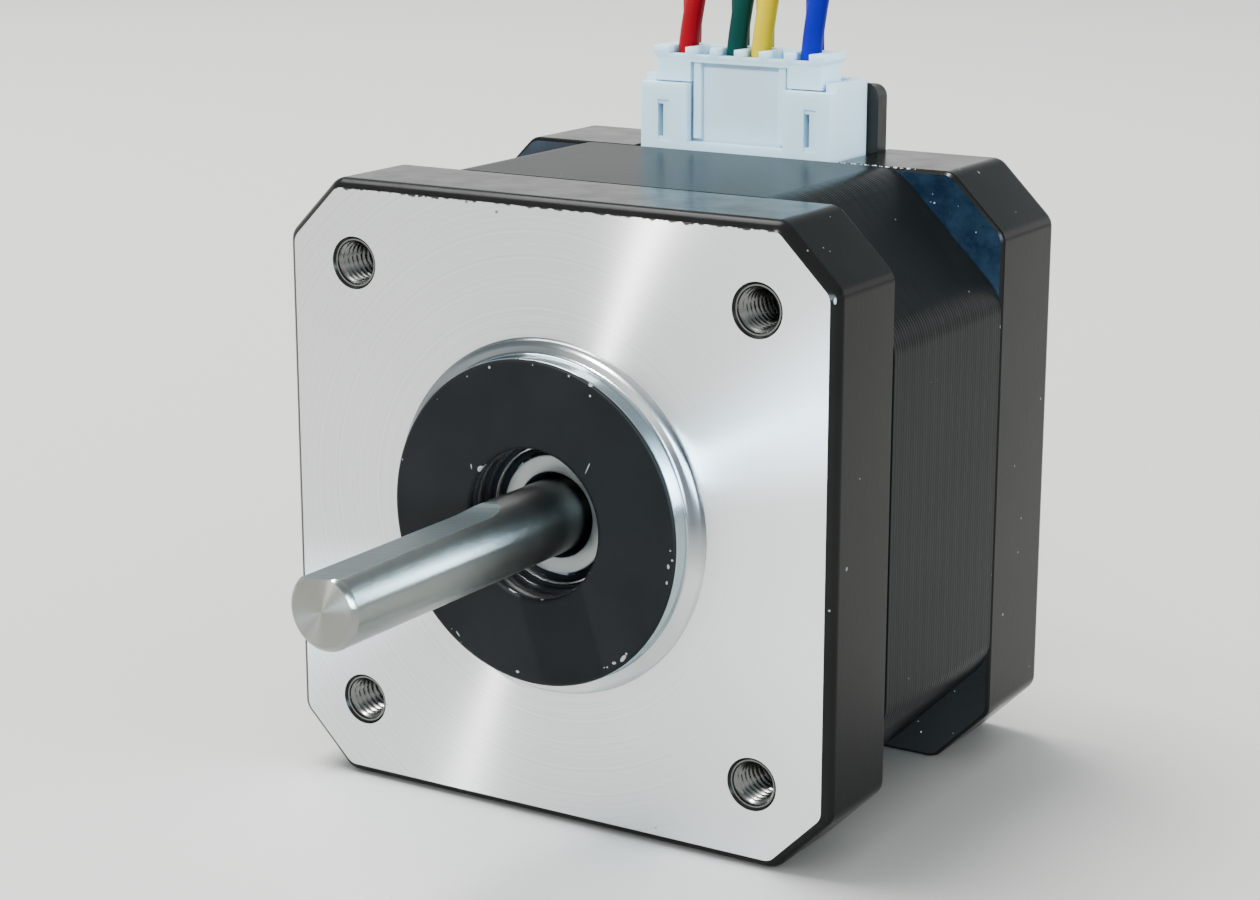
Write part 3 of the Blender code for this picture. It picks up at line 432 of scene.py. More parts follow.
def polished_root():
    """The groove round the boss's foot: bright, with dark teal bands at fixed angles round it as painted
    reflections.
    """
    look = turned_metal("boss_root", 0.18, (0.62, 0.64, 0.64))
    place = look.add("CombineXYZ", X=look.x, Y=look.up)
    turn = look.add("TexGradient", Vector=place.outputs[0])
    turn.gradient_type = "RADIAL"
    # Painted reflection: these bands are darkened by angle round the axis, standing in for darker
    # surroundings mirrored in the groove.
    dull = look.ramp(turn.outputs["Fac"], [
        (0.47, 0.0), (0.52, 0.85), (0.58, 0.90), (0.63, 0.10),
        (0.69, 0.0), (0.74, 0.70), (0.90, 0.80), (0.98, 0.1),
    ])
    look.cover(dull, (0.07, 0.085, 0.10))
    return look


def plain(name, colour, roughness, metallic=0.0, grain=2500.0, depth=0.00001, spread=0.12):
    """A moulded or plated finish with slight colour and gloss variation."""
    look = Look(name)
    low = tuple(part * (1.0 - spread) for part in colour)
    tint = look.ramp(look.noise(250.0), [(0.3, low), (0.7, colour)])
    gloss = look.ramp(look.noise(700.0, 3.0), [(0.3, roughness * 0.88), (0.7, roughness * 1.12)])
    look.shade(Base_Color=tint, Roughness=gloss, Metallic=metallic)
    look.bumps(look.noise(grain, 3.0), depth, 0.4)
    return look


def nylon():
    """Translucent bluish-white nylon."""
    look = plain("white_nylon", (0.53, 0.78, 0.97), 0.36, spread=0.03)
    look.shade(Subsurface_Weight=0.45, Subsurface_Radius=(0.8, 1.0, 1.1), Subsurface_Scale=0.0012)
    return look


def black_plastic():
    look = plain("black_plastic", (0.009, 0.0088, 0.0084), 0.42)
    look.shade(Specular_IOR_Level=0.22)
    return look


def insulation(colour):
    """Soft glossy wire insulation with faint extrusion unevenness."""
    look = plain(f"insulation_{colour}", WIRE_COLOURS[colour], 0.36, grain=1500.0, depth=0.00002,
                 spread=0.15)
    look.shade(Specular_IOR_Level=0.1)
    return look


def glossy_paint():
    """Wet-looking paint on the rear casting's front face, with pale specks and a painted blue reflection on
    its upper half.
    """
    look = Look("glossy_paint")
    clouds = look.noise(500.0, 5.0, 0.65)
    # Painted reflection: above the axis the black paint is tinted blue, standing in for the sky and window
    # mirrored in it.
    blue = look.ramp(clouds, [(0.35, (0.002, 0.006, 0.012)), (0.7, (0.008, 0.017, 0.030))])
    painted_reflection_upper = look.math("GREATER_THAN", look.up, 0.0)
    look.shade(Base_Color=look.mix(painted_reflection_upper, (0.010, 0.010, 0.010), blue), Roughness=0.16,
               Specular_IOR_Level=0.3, Coat_Weight=0.2, Coat_Roughness=0.08)
    look.cover(look.specks(1900.0, 0.49), (0.22, 0.25, 0.28))
    look.bumps(look.noise(1500.0, 3.0), 0.00004, 0.5)
    return look


def boss_paint():
    """Matt black paint on the boss, worn to bright metal along its outer and inner edge."""
    look = Look("boss_paint")
    base = look.ramp(look.noise(160.0), [(0.3, (0.0028, 0.0034, 0.0038)), (0.7, (0.0052, 0.0056, 0.0060))])
    look.shade(Base_Color=base, Roughness=0.45, Specular_IOR_Level=0.10)
    look.cover(look.specks(650.0, 0.56), (0.2, 0.2, 0.19))
    edge = look.ramp(look.math("MULTIPLY", look.radius, 80.0), [
        (0.408, 0.80), (0.416, 0.30), (0.43, 0.0), (0.858, 0.0), (0.872, 0.30), (0.879, 1.0),
    ])
    amount = look.math("MULTIPLY", look.noise(900.0, 5.0, 0.6), edge)
    rim = look.math("GREATER_THAN", look.radius, 0.0104)
    rim_chips = look.math("MULTIPLY", look.specks(1900.0, 0.47), rim)
    worn = look.math("MAXIMUM", look.math("GREATER_THAN", amount, 0.505), rim_chips)
    worn = look.math("MAXIMUM", worn, look.marks(BOSS_MARKS))
    look.cover(worn, (0.34, 0.35, 0.36))
    look.shade(Metallic=worn)
    look.bumps(look.noise(3000.0, 3.0), 0.00002, 0.4)
    return look


def milled_flat():
    """Milled flat on the shaft: matt grey with faint crosswise cutter marks."""
    look = Look("milled_flat")
    cuts = look.lines(look.y, 4000.0)
    tint = look.ramp(cuts, [(0.3, (0.085, 0.110, 0.115)), (0.7, (0.125, 0.150, 0.155))])
    look.shade(Base_Color=tint, Metallic=1.0, Roughness=0.42)
    look.bumps(cuts, 0.000006, 0.4)
    return look


def shaft_tip():
    """Face-turned end of the shaft."""
    look = turned_metal("shaft_tip", 0.36, (0.27, 0.27, 0.25))
    look.turn_marks(0.8)
    return look


# ---------------------------------------------------------------- mesh helpers

def add_piece(name, bm, looks, replaces, body="housing", sharp=35.0, weighted=True):
    """Turn a bmesh in motor millimetres into a piece that rides on a body."""
    bmesh.ops.recalc_face_normals(bm, faces=bm.faces)
    bm.transform(TO_ROW)
    mesh = bpy.data.meshes.new(name)
    bm.to_mesh(mesh)
    bm.free()
    for look in looks:
        mesh.materials.append(look.material)
    mesh.shade_smooth()
    mesh.set_sharp_from_angle(angle=math.radians(sharp))
    obj = bpy.data.objects.new(name, mesh)
    bpy.context.scene.collection.objects.link(obj)
    if weighted:
        modifier = obj.modifiers.new("normals", "WEIGHTED_NORMAL")
        modifier.keep_sharp = True
    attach(obj, body)
    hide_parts(*replaces)
    return obj


def polar(radius, degrees):
    """The two coordinates of the point at this distance and angle."""
    angle = math.radians(degrees)
    return radius * math.cos(angle), radius * math.sin(angle)


def lathe(bm, profile, steps, centre=(0.0, 0.0), closed=True, material=None):
    """Turn (radius, depth) points about an axis parallel to y."""
    rings = []
    for radius, depth in profile:
        if radius == 0.0:
            corners = [(0.0, 0.0)]
        else:
            corners = [polar(radius, 360.0 * step / steps) for step in range(steps)]
        rings.append([bm.verts.new((centre[0] + x, depth, centre[1] + z)) for x, z in corners])
    pairs = list(zip(rings, rings[1:]))
    if closed:
        pairs.append((rings[-1], rings[0]))
    for number, (first, second) in enumerate(pairs):
        for step in range(steps):
            after = (step + 1) % steps
            if len(first) == 1:
                corners = (first[0], second[step], second[after])
            elif len(second) == 1:
                corners = (first[step], second[0], first[after])
            else:
                corners = (first[step], second[step], second[after], first[after])
            face = bm.faces.new(corners)
            if material:
                face.material_index = material(number)


def turned_tool(profile, steps=64, centre=(0.0, 0.0)):
    """A solid turned from a profile that starts and ends on the axis."""
    bm = bmesh.new()
    lathe(bm, profile, steps, centre, closed=False)
    return bm


def loft(bm, rings, loop=False):
    """Skin a list of equal outlines of (x, y, z) points, with end caps unless it is a loop."""
    made = [[bm.verts.new(point) for point in ring] for ring in rings]
    pairs = list(zip(made, made[1:]))
    if loop:
        pairs.append((made[-1], made[0]))
    else:
        bm.faces.new(made[0])
        bm.faces.new(made[-1])
    for first, second in pairs:
        for index in range(len(first)):
            after = (index + 1) % len(first)
            bm.faces.new((first[index], first[after], second[after], second[index]))


def cut_corner_outline(half, chamfer, radius, steps):
    """Square with cut corners whose eight corners are rounded, counter-clockwise from the front."""
    corners = []
    for turn in range(4):
        for x, z in ((half, half - chamfer), (half - chamfer, half)):
            for _ in range(turn):
                x, z = -z, x
            corners.append(Vector((x, z)))
    outline = []
    count = len(corners)
    for index, corner in enumerate(corners):
        before = (corners[index - 1] - corner).normalized()
        after = (corners[(index + 1) % count] - corner).normalized()
        opening = before.angle(after)
        reach = radius / math.tan(opening / 2.0)
        centre = corner + (before + after).normalized() * (radius / math.sin(opening / 2.0))
        start = corner + before * reach - centre
        end = corner + after * reach - centre
        sweep = start.angle_signed(end)
        for step in range(steps + 1):
            turned_by = -sweep * step / steps
            rotated = Matrix.Rotation(turned_by, 2) @ start
            outline.append(tuple(centre + rotated))
    return outline


def frame_ring(half, chamfer, radius, inset, depth, steps=5):
    """The cut-corner outline drawn in by an inset, at one depth."""
    inner = cut_corner_outline(half - inset, chamfer - (2.0 - math.sqrt(2.0)) * inset,
                               max(0.05, radius - inset * 0.5), steps)
    return [(x, depth, z) for x, z in inner]


def as_object(bm):
    """Put a bmesh in the scene as an object, and free it."""
    mesh = bpy.data.meshes.new("scratch")
    bmesh.ops.recalc_face_normals(bm, faces=bm.faces)
    bm.to_mesh(mesh)
    bm.free()
    obj = bpy.data.objects.new("scratch", mesh)
    bpy.context.scene.collection.objects.link(obj)
    return obj


def carve(bm, tools, operation="DIFFERENCE"):
    """Boolean a list of bmeshes into bm, and return the result as a new bmesh."""
    obj = as_object(bm)
    helpers = [as_object(tool) for tool in tools]
    for helper in helpers:
        modifier = obj.modifiers.new("cut", "BOOLEAN")
        modifier.object = helper
        modifier.operation = operation
        modifier.solver = "EXACT"
    graph = bpy.context.evaluated_depsgraph_get()
    mesh = bpy.data.meshes.new_from_object(obj.evaluated_get(graph))
    result = bmesh.new()
    result.from_mesh(mesh)
    for used in [obj] + helpers:
        data = used.data
        bpy.data.objects.remove(used, do_unlink=True)
        bpy.data.meshes.remove(data)
    bpy.data.meshes.remove(mesh)
    return result


def box_mesh(*spans):
    """Boxes, each given by its low and its high corner."""
    bm = bmesh.new()
    for low, high in spans:
        made = bmesh.ops.create_cube(bm, size=1.0)["verts"]
        size = [top - bottom for bottom, top in zip(low, high)]
        centre = [(top + bottom) / 2.0 for bottom, top in zip(low, high)]
        bmesh.ops.scale(bm, vec=size, verts=made)
        bmesh.ops.translate(bm, vec=centre, verts=made)
    return bm


def soften(bm, width, segments=2, degrees=30.0):
    """Bevel every edge sharper than an angle, after joining flat faces."""
    bmesh.ops.remove_doubles(bm, verts=bm.verts, dist=0.0005)
    bmesh.ops.dissolve_limit(bm, angle_limit=math.radians(1.0), verts=bm.verts, edges=bm.edges)
    sharp = [
        edge for edge in bm.edges
        if len(edge.link_faces) == 2 and edge.calc_face_angle() > math.radians(degrees)
    ]
    bmesh.ops.bevel(bm, geom=sharp, offset=width, segments=segments, profile=0.6, affect="EDGES",
                    clamp_overlap=True)
    return bm


def screw_centres():
    """The x and z of the four screw axes."""
    return [(x * SCREW_OFFSET, z * SCREW_OFFSET) for x, z in ((1, 1), (-1, 1), (-1, -1), (1, -1))]


# ---------------------------------------------------------------- castings

def paint_by_facing(bm, direction, level, index, tolerance=0.03):
    """Give the faces that look one way, at one place along it, another material."""
    direction = Vector(direction)
    for face in bm.faces:
        if face.normal.dot(direction) > 0.995:
            if abs(face.calc_center_median().dot(direction) - level) < tolerance:
                face.material_index = index


def add_front_bell(paint, face_metal):
    """Front casting: painted sides, a bare machined face and four tapped holes."""
    rim = [(FACE_INSET, 0.0), (0.38, 0.12), (0.18, 0.32), (0.05, 0.55), (0.0, 0.8)]
    rim += [(0.0, BELL_BACK - 0.22), (0.06, BELL_BACK - 0.07), (0.2, BELL_BACK)]
    bm = bmesh.new()
    loft(bm, [frame_ring(HALF, BELL_CHAMFER, BELL_CORNER_R, inset, depth) for inset, depth in rim])
    tools = [
        turned_tool([(0.0, -1.0), (11.6, -1.0), (11.6, 3.0), (0.0, 3.0)], 96),
        turned_tool([(0.0, 2.6), (POCKET_R, 2.6), (POCKET_R, 9.0), (0.0, 9.0)], 96),
    ]
    for centre in screw_centres():
        tools.append(turned_tool([
            (0.0, -1.0), (2.8, -1.0), (HOLE_EDGE_R, 0.2), (HOLE_EDGE_R, 9.0), (0.0, 9.0),
        ], 48, centre))
    bm = carve(bm, tools)
    bm.normal_update()
    paint_by_facing(bm, (0.0, -1.0, 0.0), 0.0, 1)
    add_piece("bell_front", bm, [paint, face_metal], ["front_end_bell"], sharp=22.0)


def add_pilot_boss(disc, wall, root, painted_shade):
    """Pilot boss with its painted end, turned wall and root ring, and the bearing seat."""
    profile = [
        (ROOT_R, 0.02), (12.02, -0.1), (11.92, -0.24), (11.74, -0.38), (11.5, -0.48),
        (11.24, -0.54), (11.08, -0.62), (BOSS_R, -0.78),
        (BOSS_R, -1.72), (10.95, -1.88), (10.82, -1.98), (10.7, -BOSS_HEIGHT),
        (5.42, -BOSS_HEIGHT), (5.2, -1.96), (5.05, -1.84), (5.0, -1.66),
        (5.0, -0.35), (5.08, -0.25), (5.0, -0.15), (5.0, 0.62), (5.12, 0.78),
        (SEAT_R, 0.78), (SEAT_R, 5.8), (SEAT_WALL_R, 5.8), (SEAT_WALL_R, 2.6), (11.58, 2.6), (11.58, 0.02),
    ]
    # Painted shade: the bore, bearing seat and inner faces take the near-black material that stands in for
    # their shadow.
    finishes = [2] * 6 + [1] * 3 + [0] * 5 + [3] * (len(profile) - 14)
    bm = bmesh.new()
    lathe(bm, profile, 192, material=lambda number: finishes[number])
    add_piece("pilot_boss", bm, [disc, wall, root, painted_shade], ["front_end_bell"], sharp=40.0)


def add_threads(metal):
    """The M3 threads in the four mounting holes."""
    bm = bmesh.new()
    samples = 8
    steps = 40
    fade_rows = 6.0
    rows = int((BELL_BACK - 0.3 - THREAD_START) / THREAD_PITCH * samples)
    end = THREAD_START + rows * THREAD_PITCH / samples
    for centre in screw_centres():
        wall = []
        for row in range(rows + 1):
            depth = THREAD_START + row * THREAD_PITCH / samples
            ring = []
            for step in range(steps):
                turn = (depth / THREAD_PITCH - step / steps) % 1.0
                height = min(1.0, max(0.0, 1.25 * abs(2.0 * turn - 1.0) - 0.12))
                fade = min(1.0, row / fade_rows)
                radius = THREAD_MAJOR_R - (THREAD_MAJOR_R - THREAD_MINOR_R) * (1.0 - height) * fade
                x, z = polar(radius, 360.0 * step / steps)
                ring.append((centre[0] + x, depth, centre[1] + z))
            wall.append(ring)
        outer = [
            [(centre[0] + x, depth, centre[1] + z)
             for x, z in (polar(THREAD_OUTER_R, 360.0 * step / steps) for step in range(steps))]
            for depth in (end, THREAD_START)
        ]
        loft(bm, wall + outer, loop=True)
    return add_piece("hole_threads", bm, [metal], ["front_end_bell"], sharp=50.0,
                     weighted=False)


def cad_copy(node):
    """A node's mesh in motor millimetres, as a new bmesh."""
    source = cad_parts[node]
    bm = bmesh.new()
    bm.from_mesh(source.data)
    bm.transform(TO_ROW.inverted() @ source.matrix_world)
    return bm


def add_stack(lacquer):
    """The stator sheets, each with its own slightly proud edge."""
    sheets = round((STACK_BACK - STACK_FRONT) / SHEET)
    thickness = (STACK_BACK - STACK_FRONT) / sheets
    rings = []
    for sheet in range(sheets):
        low = STACK_FRONT + sheet * thickness
        inset = 0.004 + 0.003 * (0.5 + 0.5 * math.sin(29.7 * sheet))
        for depth, extra in ((0.0, GROOVE), (0.05, 0.0), (thickness - 0.05, 0.0)):
            rings.append(frame_ring(HALF, STACK_CHAMFER, STACK_CORNER_R, inset + extra, low + depth, 6))
    first = frame_ring(HALF, STACK_CHAMFER, STACK_CORNER_R, GROOVE, STACK_FRONT - 0.05, 6)
    last = frame_ring(HALF, STACK_CHAMFER, STACK_CORNER_R, GROOVE, STACK_BACK + 0.05, 6)
    bm = bmesh.new()
    loft(bm, [first] + rings[1:] + [last])
    bm = carve(bm, [cad_copy("stator_stack")], "INTERSECT")
    add_piece("stack_sheets", bm, [lacquer], ["stator_stack"], sharp=20.0)


def add_rear_bell(paint, glossy):
    """Rear casting: rounded back edge, connector notch, screw recesses and bearing seat."""
    edge = [(0.25, REAR_FRONT), (0.07, REAR_FRONT + 0.08), (0.0, REAR_FRONT + 0.25)]
    for step in range(7):
        x, y = polar(REAR_ROUNDING, 15.0 * step)
        edge.append((REAR_ROUNDING - x, BODY_BACK - REAR_ROUNDING + y))
    bm = bmesh.new()
    loft(bm, [frame_ring(HALF, BELL_CHAMFER, BELL_CORNER_R, inset, depth) for inset, depth in edge])
    seat_floor = REAR_BEARING + BEARING_WIDTH + 0.7
    tools = [turned_tool([
        (0.0, 23.0), (POCKET_R, 23.0), (POCKET_R, 30.6), (SEAT_WALL_R, 30.6),
        (SEAT_WALL_R, REAR_BEARING), (SEAT_R, REAR_BEARING), (SEAT_R, seat_floor),
        (4.0, seat_floor), (4.0, 32.6), (4.5, 33.1), (4.5, 34.0), (0.0, 34.0),
    ], 96)]
    tools.append(box_mesh(((-8.4, 23.0, 17.7), (8.4, 34.0, 23.0))))
    for centre in screw_centres():
        tools.append(turned_tool([
            (0.0, 23.0), (HOLE_EDGE_R, 23.0), (HOLE_EDGE_R, 30.8), (3.0, 30.8), (3.0, 32.8), (3.3, 33.1),
            (3.3, 34.0), (0.0, 34.0),
        ], 48, centre))
    bm = carve(bm, tools)
    bm.normal_update()
    paint_by_facing(bm, (0.0, -1.0, 0.0), -REAR_FRONT, 1, 0.3)
    add_piece("bell_rear", bm, [paint, glossy], ["rear_end_bell"], sharp=22.0)


def add_screws(zinc):
    """Four pan-head screws with cross recesses."""
    for number, centre in enumerate(screw_centres(), start=1):
        bm = turned_tool([
            (0.0, 5.2), (1.0, 5.2), (1.3, 5.5), (1.3, 30.95), (2.6, 31.0), (2.7, 31.12),
            (2.68, 31.9), (2.5, 32.3), (2.15, 32.58), (1.6, 32.73), (0.9, 32.79), (0.0, 32.8),
        ], 48, centre)
        arms = []
        for wide, high in ((1.45, 0.27), (0.27, 1.45)):
            arms.append(box_mesh((
                (centre[0] - wide, 31.7, centre[1] - high), (centre[0] + wide, 33.5, centre[1] + high),
            )))
        arms.append(turned_tool([(0.0, 31.2), (0.3, 31.4), (0.75, 33.5), (0.0, 33.5)], 24, centre))
        bm = carve(bm, arms)
        add_piece(f"back_screw_{number}", bm, [zinc], [f"screw_{number}"])


# ---------------------------------------------------------------- shaft and bearing

def add_shaft(steel, flat_steel, tip_steel):
    """Ground shaft with chamfered ends and a milled flat that runs out in a curve."""
    bm = turned_tool([
        (0.0, SHAFT_TIP), (2.14, SHAFT_TIP), (2.2, SHAFT_TIP + 0.02), (2.47, SHAFT_TIP + 0.27),
        (SHAFT_R, SHAFT_TIP + 0.34), (SHAFT_R, SHAFT_END - 0.3), (2.2, SHAFT_END), (0.0, SHAFT_END),
    ], ROUND)
    level = SHAFT_R - FLAT_DEPTH
    outline = [(SHAFT_TIP - 2.0, level), (FLAT_END, level)]
    for step in range(1, 13):
        x, y = polar(FLAT_RUNOUT_R, -90.0 + FLAT_RUNOUT_SWEEP * step / 12)
        outline.append((FLAT_END + x, level + FLAT_RUNOUT_R + y))
    outline += [(outline[-1][0], 5.0), (SHAFT_TIP - 2.0, 5.0)]
    tool = bmesh.new()
    loft(tool, [[(side, y, z) for y, z in outline] for side in (-4.0, 4.0)])
    tool.transform(Matrix.Rotation(FLAT_TILT, 4, "Y"))
    bm = carve(bm, [tool])
    bm.normal_update()
    up = Matrix.Rotation(FLAT_TILT, 3, "Y") @ Vector((0.0, 0.0, 1.0))
    paint_by_facing(bm, (0.0, -1.0, 0.0), -SHAFT_TIP, 2)
    for face in bm.faces:
        middle = face.calc_center_median()
        rise = max(0.0, middle.y - FLAT_END)
        on_flat = middle.y < FLAT_END + FLAT_RUNOUT_R / 2.0 and abs(middle.dot(up) - level) < 0.02 + rise
        if on_flat and face.normal.dot(up) > 0.85 and math.hypot(middle.x, middle.z) < SHAFT_R - 0.015:
            face.material_index = 1
    add_piece("output_shaft", bm, [steel, flat_steel, tip_steel], ["shaft"], "rotor", 25.0)


def add_front_bearing(ring_steel, lip_steel, painted_shade):
    """The bearing end that shows in the boss: both rings and the shield with its rolled lip."""
    middle = FRONT_BEARING + BEARING_WIDTH / 2.0
    back = FRONT_BEARING + BEARING_WIDTH
    bm = bmesh.new()
    # Painted shade: the inner ring's outer side, bore chamfer and bore take the near-black material in
    # place of their shadow.
    lathe(bm, [
        (4.02, back - 0.15), (4.02, middle + 1.0), (3.65, middle), (4.02, middle - 1.0),
        (4.02, FRONT_BEARING + 0.1), (3.95, FRONT_BEARING), (3.0, FRONT_BEARING),
        (2.92, FRONT_BEARING + 0.04), (2.6, FRONT_BEARING + 0.6), (2.6, back - 0.2), (2.8, back),
        (3.9, back),
    ], ROUND, material=lambda number: 1 if number in (0, 1, 2, 3, 7, 8) else 0)
    add_piece("bearing_inner", bm, [ring_steel, painted_shade], ["front_bearing_inner_ring"],
              "rotor", 30.0)
    bm = bmesh.new()
    lathe(bm, [
        (7.9, FRONT_BEARING + 0.15), (7.9, back - 0.15), (7.75, back), (6.7, back), (6.7, middle + 1.0),
        (7.05, middle), (6.7, middle - 1.0), (6.7, FRONT_BEARING), (7.75, FRONT_BEARING),
    ], 96)
    # Painted shade: the shield's face takes the near-black material; only its rolled lip stays bright.
    lathe(bm, [
        (6.6, 0.95), (6.6, 1.2), (4.55, 1.2), (4.28, 1.45), (4.24, 1.4), (4.5, 1.1), (4.55, 0.82),
        (4.62, 0.72), (4.7, 0.72), (4.77, 0.82), (4.85, 0.95),
    ], ROUND, material=lambda number: 1 if number in (5, 6, 7, 8) else 2)
    add_piece("bearing_outer", bm, [ring_steel, lip_steel, painted_shade],
              ["front_bearing_outer_ring", "front_bearing_front_shield"])


# ---------------------------------------------------------------- connector

def way_x(index):
    """Where one of the connector's ways lies across the motor."""
    return (index - (WAYS - 1) / 2.0) * PITCH


def add_socket(white):
    """Shrouded six-way socket: window, slotted end boxes and a low front wall."""
    bm = box_mesh(((-7.7, 24.2, 18.9), (7.7, 30.0, 26.4)))
    tools = [
        box_mesh(((-6.9, 25.0, 20.1), (6.9, 29.2, 30.0))),
        box_mesh(((-3.95, 23.0, 21.7), (3.95, 25.1, 30.0))),
        box_mesh(((-9.0, 23.0, 25.85), (9.0, 25.05, 29.0))),
        box_mesh(((7.6, 25.9, 18.0), (9.0, 31.0, 27.0)), ((-9.0, 25.9, 18.0), (-7.6, 31.0, 27.0))),
    ]
    slots = []
    pockets = []
    for side in (-1.0, 1.0):
        x = side * SLOT_X - 0.15
        slots.append(((x - 0.2, 23.0, 21.95), (x + 0.2, 25.1, 24.3)))
        pockets.append(((x - 0.2, 23.0, 21.65), (x + 0.75, 24.32, 24.6)))
    for index in range(WAYS):
        x = way_x(index)
        slots.append(((x - 0.45, PIN_Y - 0.45, 18.0), (x + 0.45, PIN_Y + 0.45, 20.2)))
    tools += [box_mesh(*slots), box_mesh(*pockets)]
    bm = soften(carve(bm, tools), 0.13, 3)
    return add_piece("socket_shroud", bm, [white], ["connector_socket"])


def add_plug(white):
    """Six-way plug: framed panel, head, flared lip and six wedge-sided wire openings."""
    bm = box_mesh(((-6.6, 25.3, 20.4), (6.6, 28.9, 26.2)))
    head = box_mesh(((-6.7, 24.8, 25.95), (6.7, 27.7, 28.15)))
    recess = box_mesh(((-3.95, 24.0, 25.0), (3.95, 25.3, 27.35)))
    lip = bmesh.new()
    loft(lip, [
        [(-x, front, z), (x, front, z), (x, rear, z), (-x, rear, z)]
        for x, front, rear, z in (
            (6.68, 24.78, 27.68, 27.6), (7.0, 24.7, 27.95, 27.95), (7.0, 24.7, 27.95, WELL_TOP),
        )
    ])
    ribs = box_mesh(*[((side * 3.45 - 0.28, 24.95, 21.9), (side * 3.45 + 0.28, 25.5, 27.5))
                      for side in (-1.0, 1.0)])
    bm = carve(carve(carve(bm, [head], "UNION"), [recess]), [lip], "UNION")
    bm = carve(bm, [ribs], "UNION")
    wells = []
    notches = []
    for index in range(WAYS):
        x = way_x(index)
        wells.append(((x - 0.8, PIN_Y - 0.85, 19.0), (x + 0.8, PIN_Y + 0.85, 30.0)))
        notches.append(((x - 0.7, 24.0, 27.88), (x + 0.7, PIN_Y, 30.0)))
    bm = carve(bm, [box_mesh(*wells)])
    bm = soften(carve(bm, [box_mesh(*notches)]), 0.09, 2)
    return add_piece("plug_housing", bm, [white], ["cable_plug"])


def add_backing(plastic):
    """Black plate behind the socket with rounded top corners and eased edges."""
    radius = 0.9
    top = 25.8
    corner = [polar(radius, 15.0 * step) for step in range(7)]
    outline = [(8.1 - radius + x, top - radius + z) for x, z in corner]
    outline += [(-x, z) for x, z in reversed(outline)]
    outline += [(-8.1, 18.0), (8.1, 18.0)]
    bm = bmesh.new()
    loft(bm, [[(x, y, z) for x, z in outline] for y in (30.3, 32.4)])
    soften(bm, 0.28, 3, 50.0)
    add_piece("backing_plate", bm, [plastic], ["connector_backing"])


def add_paint_beads(paint):
    """Beads of cured lacquer along the joint beside the connector."""
    bm = bmesh.new()
    count = 22
    for index in range(count):
        share = (index + 0.4 * math.sin(3.1 * index)) / (count - 1)
        radius = 0.03 + 0.06 * abs(math.sin(7.3 * index + 1.0)) ** 2
        made = bmesh.ops.create_icosphere(bm, subdivisions=2, radius=radius)["verts"]
        spot = (8.7 + 5.6 * share, REAR_FRONT - 0.02 + 0.03 * math.sin(5.1 * index), HALF - 0.02)
        bmesh.ops.scale(bm, vec=(1.5, 1.0, 0.8), verts=made)
        bmesh.ops.translate(bm, vec=spot, verts=made)
    chip = bmesh.ops.create_icosphere(bm, subdivisions=2, radius=0.16)["verts"]
    bmesh.ops.scale(bm, vec=(0.6, 0.9, 1.5), verts=chip)
    bmesh.ops.translate(bm, vec=(HALF - 0.38, 0.2, HALF - BELL_CHAMFER - 0.5), verts=chip)
    add_piece("lacquer_beads", bm, [paint], ["rear_end_bell"], sharp=30.0,
              weighted=False)


# ---------------------------------------------------------------- coil tie and far housing

def round_box_loop(low_r, high_r, low_z, high_z, radius, steps=5):
    """A rounded rectangle in the plane of radius and height, as (radius, z) points."""
    points = []
    corners = (
        (high_r, high_z, -1, -1), (low_r, high_z, 1, -1), (low_r, low_z, 1, 1), (high_r, low_z, -1, 1),
    )
    for quarter, (r, z, sr, sz) in enumerate(corners):
        for step in range(steps + 1):
            x, y = polar(radius, 90.0 * (quarter + step / steps))
            points.append((r + sr * radius + x, z + sz * radius + y))
    return points


def add_tie(plastic):
    """A cable tie round the coil: ribbed strap, head and trimmed tail."""
    room = 0.2
    low = COIL_MIDDLE_Z - COIL_HALF_HEIGHT - room
    high = COIL_MIDDLE_Z + COIL_HALF_HEIGHT + room
    inner = round_box_loop(15.0, 22.2, low, high, 0.5)
    outer = round_box_loop(14.5, 22.7, low - 0.5, high + 0.5, 1.0)
    bm = bmesh.new()
    rings = []
    for loop, side in ((inner, -1.15), (outer, -1.15), (outer, 1.15), (inner, 1.15)):
        rings.append([(COIL_CENTRE[0] + side, COIL_CENTRE[1] + r, z) for r, z in loop])
    loft(bm, rings, loop=True)
    x, y = COIL_CENTRE
    head = box_mesh(((x - 1.25, y + 22.3, high - 2.6), (x + 1.25, y + 24.2, high + 0.45)))
    tail = box_mesh(((x - 1.1, y + 22.9, high - 4.2), (x + 1.1, y + 23.4, high + 0.5)))
    slot = box_mesh(((x - 0.8, y + 23.5, high - 3.0), (x + 0.8, y + 23.85, high + 0.9)))
    bm = carve(carve(carve(bm, [head], "UNION"), [tail], "UNION"), [slot])
    soften(bm, 0.1, 2)
    return add_piece("coil_tie", bm, [plastic], ["cable_tie"])


def add_far_housing(plastic):
    """Four-way crimp housing: wire openings, latch windows and pin openings."""
    contact_pitch = 2.54
    bm = box_mesh(((0.3, -5.1, -1.3), (14.3, 5.1, 1.3)))
    openings = []
    windows = []
    for rank in range(4):
        y = (rank - 1.5) * contact_pitch
        openings.append(((-1.0, y - 0.95, -0.9), (3.4, y + 0.95, 0.9)))
        openings.append(((12.0, y - 0.4, -0.4), (16.0, y + 0.4, 0.4)))
        windows.append(((6.0, y - 0.6, 0.5), (9.4, y + 0.6, 2.0)))
    bm = carve(carve(bm, [box_mesh(*openings)]), [box_mesh(*windows)])
    soften(bm, 0.12, 2)
    x, y, z = TAIL_ROUTE[-2][:3]
    bm.transform(Matrix.Translation((COIL_CENTRE[0] + x, COIL_CENTRE[1] + y, z))
                 @ Matrix.Rotation(math.radians(-45.0), 4, "Z"))
    return add_piece("crimp_housing", bm, [plastic], ["lead_housing"])


# ---------------------------------------------------------------- lead

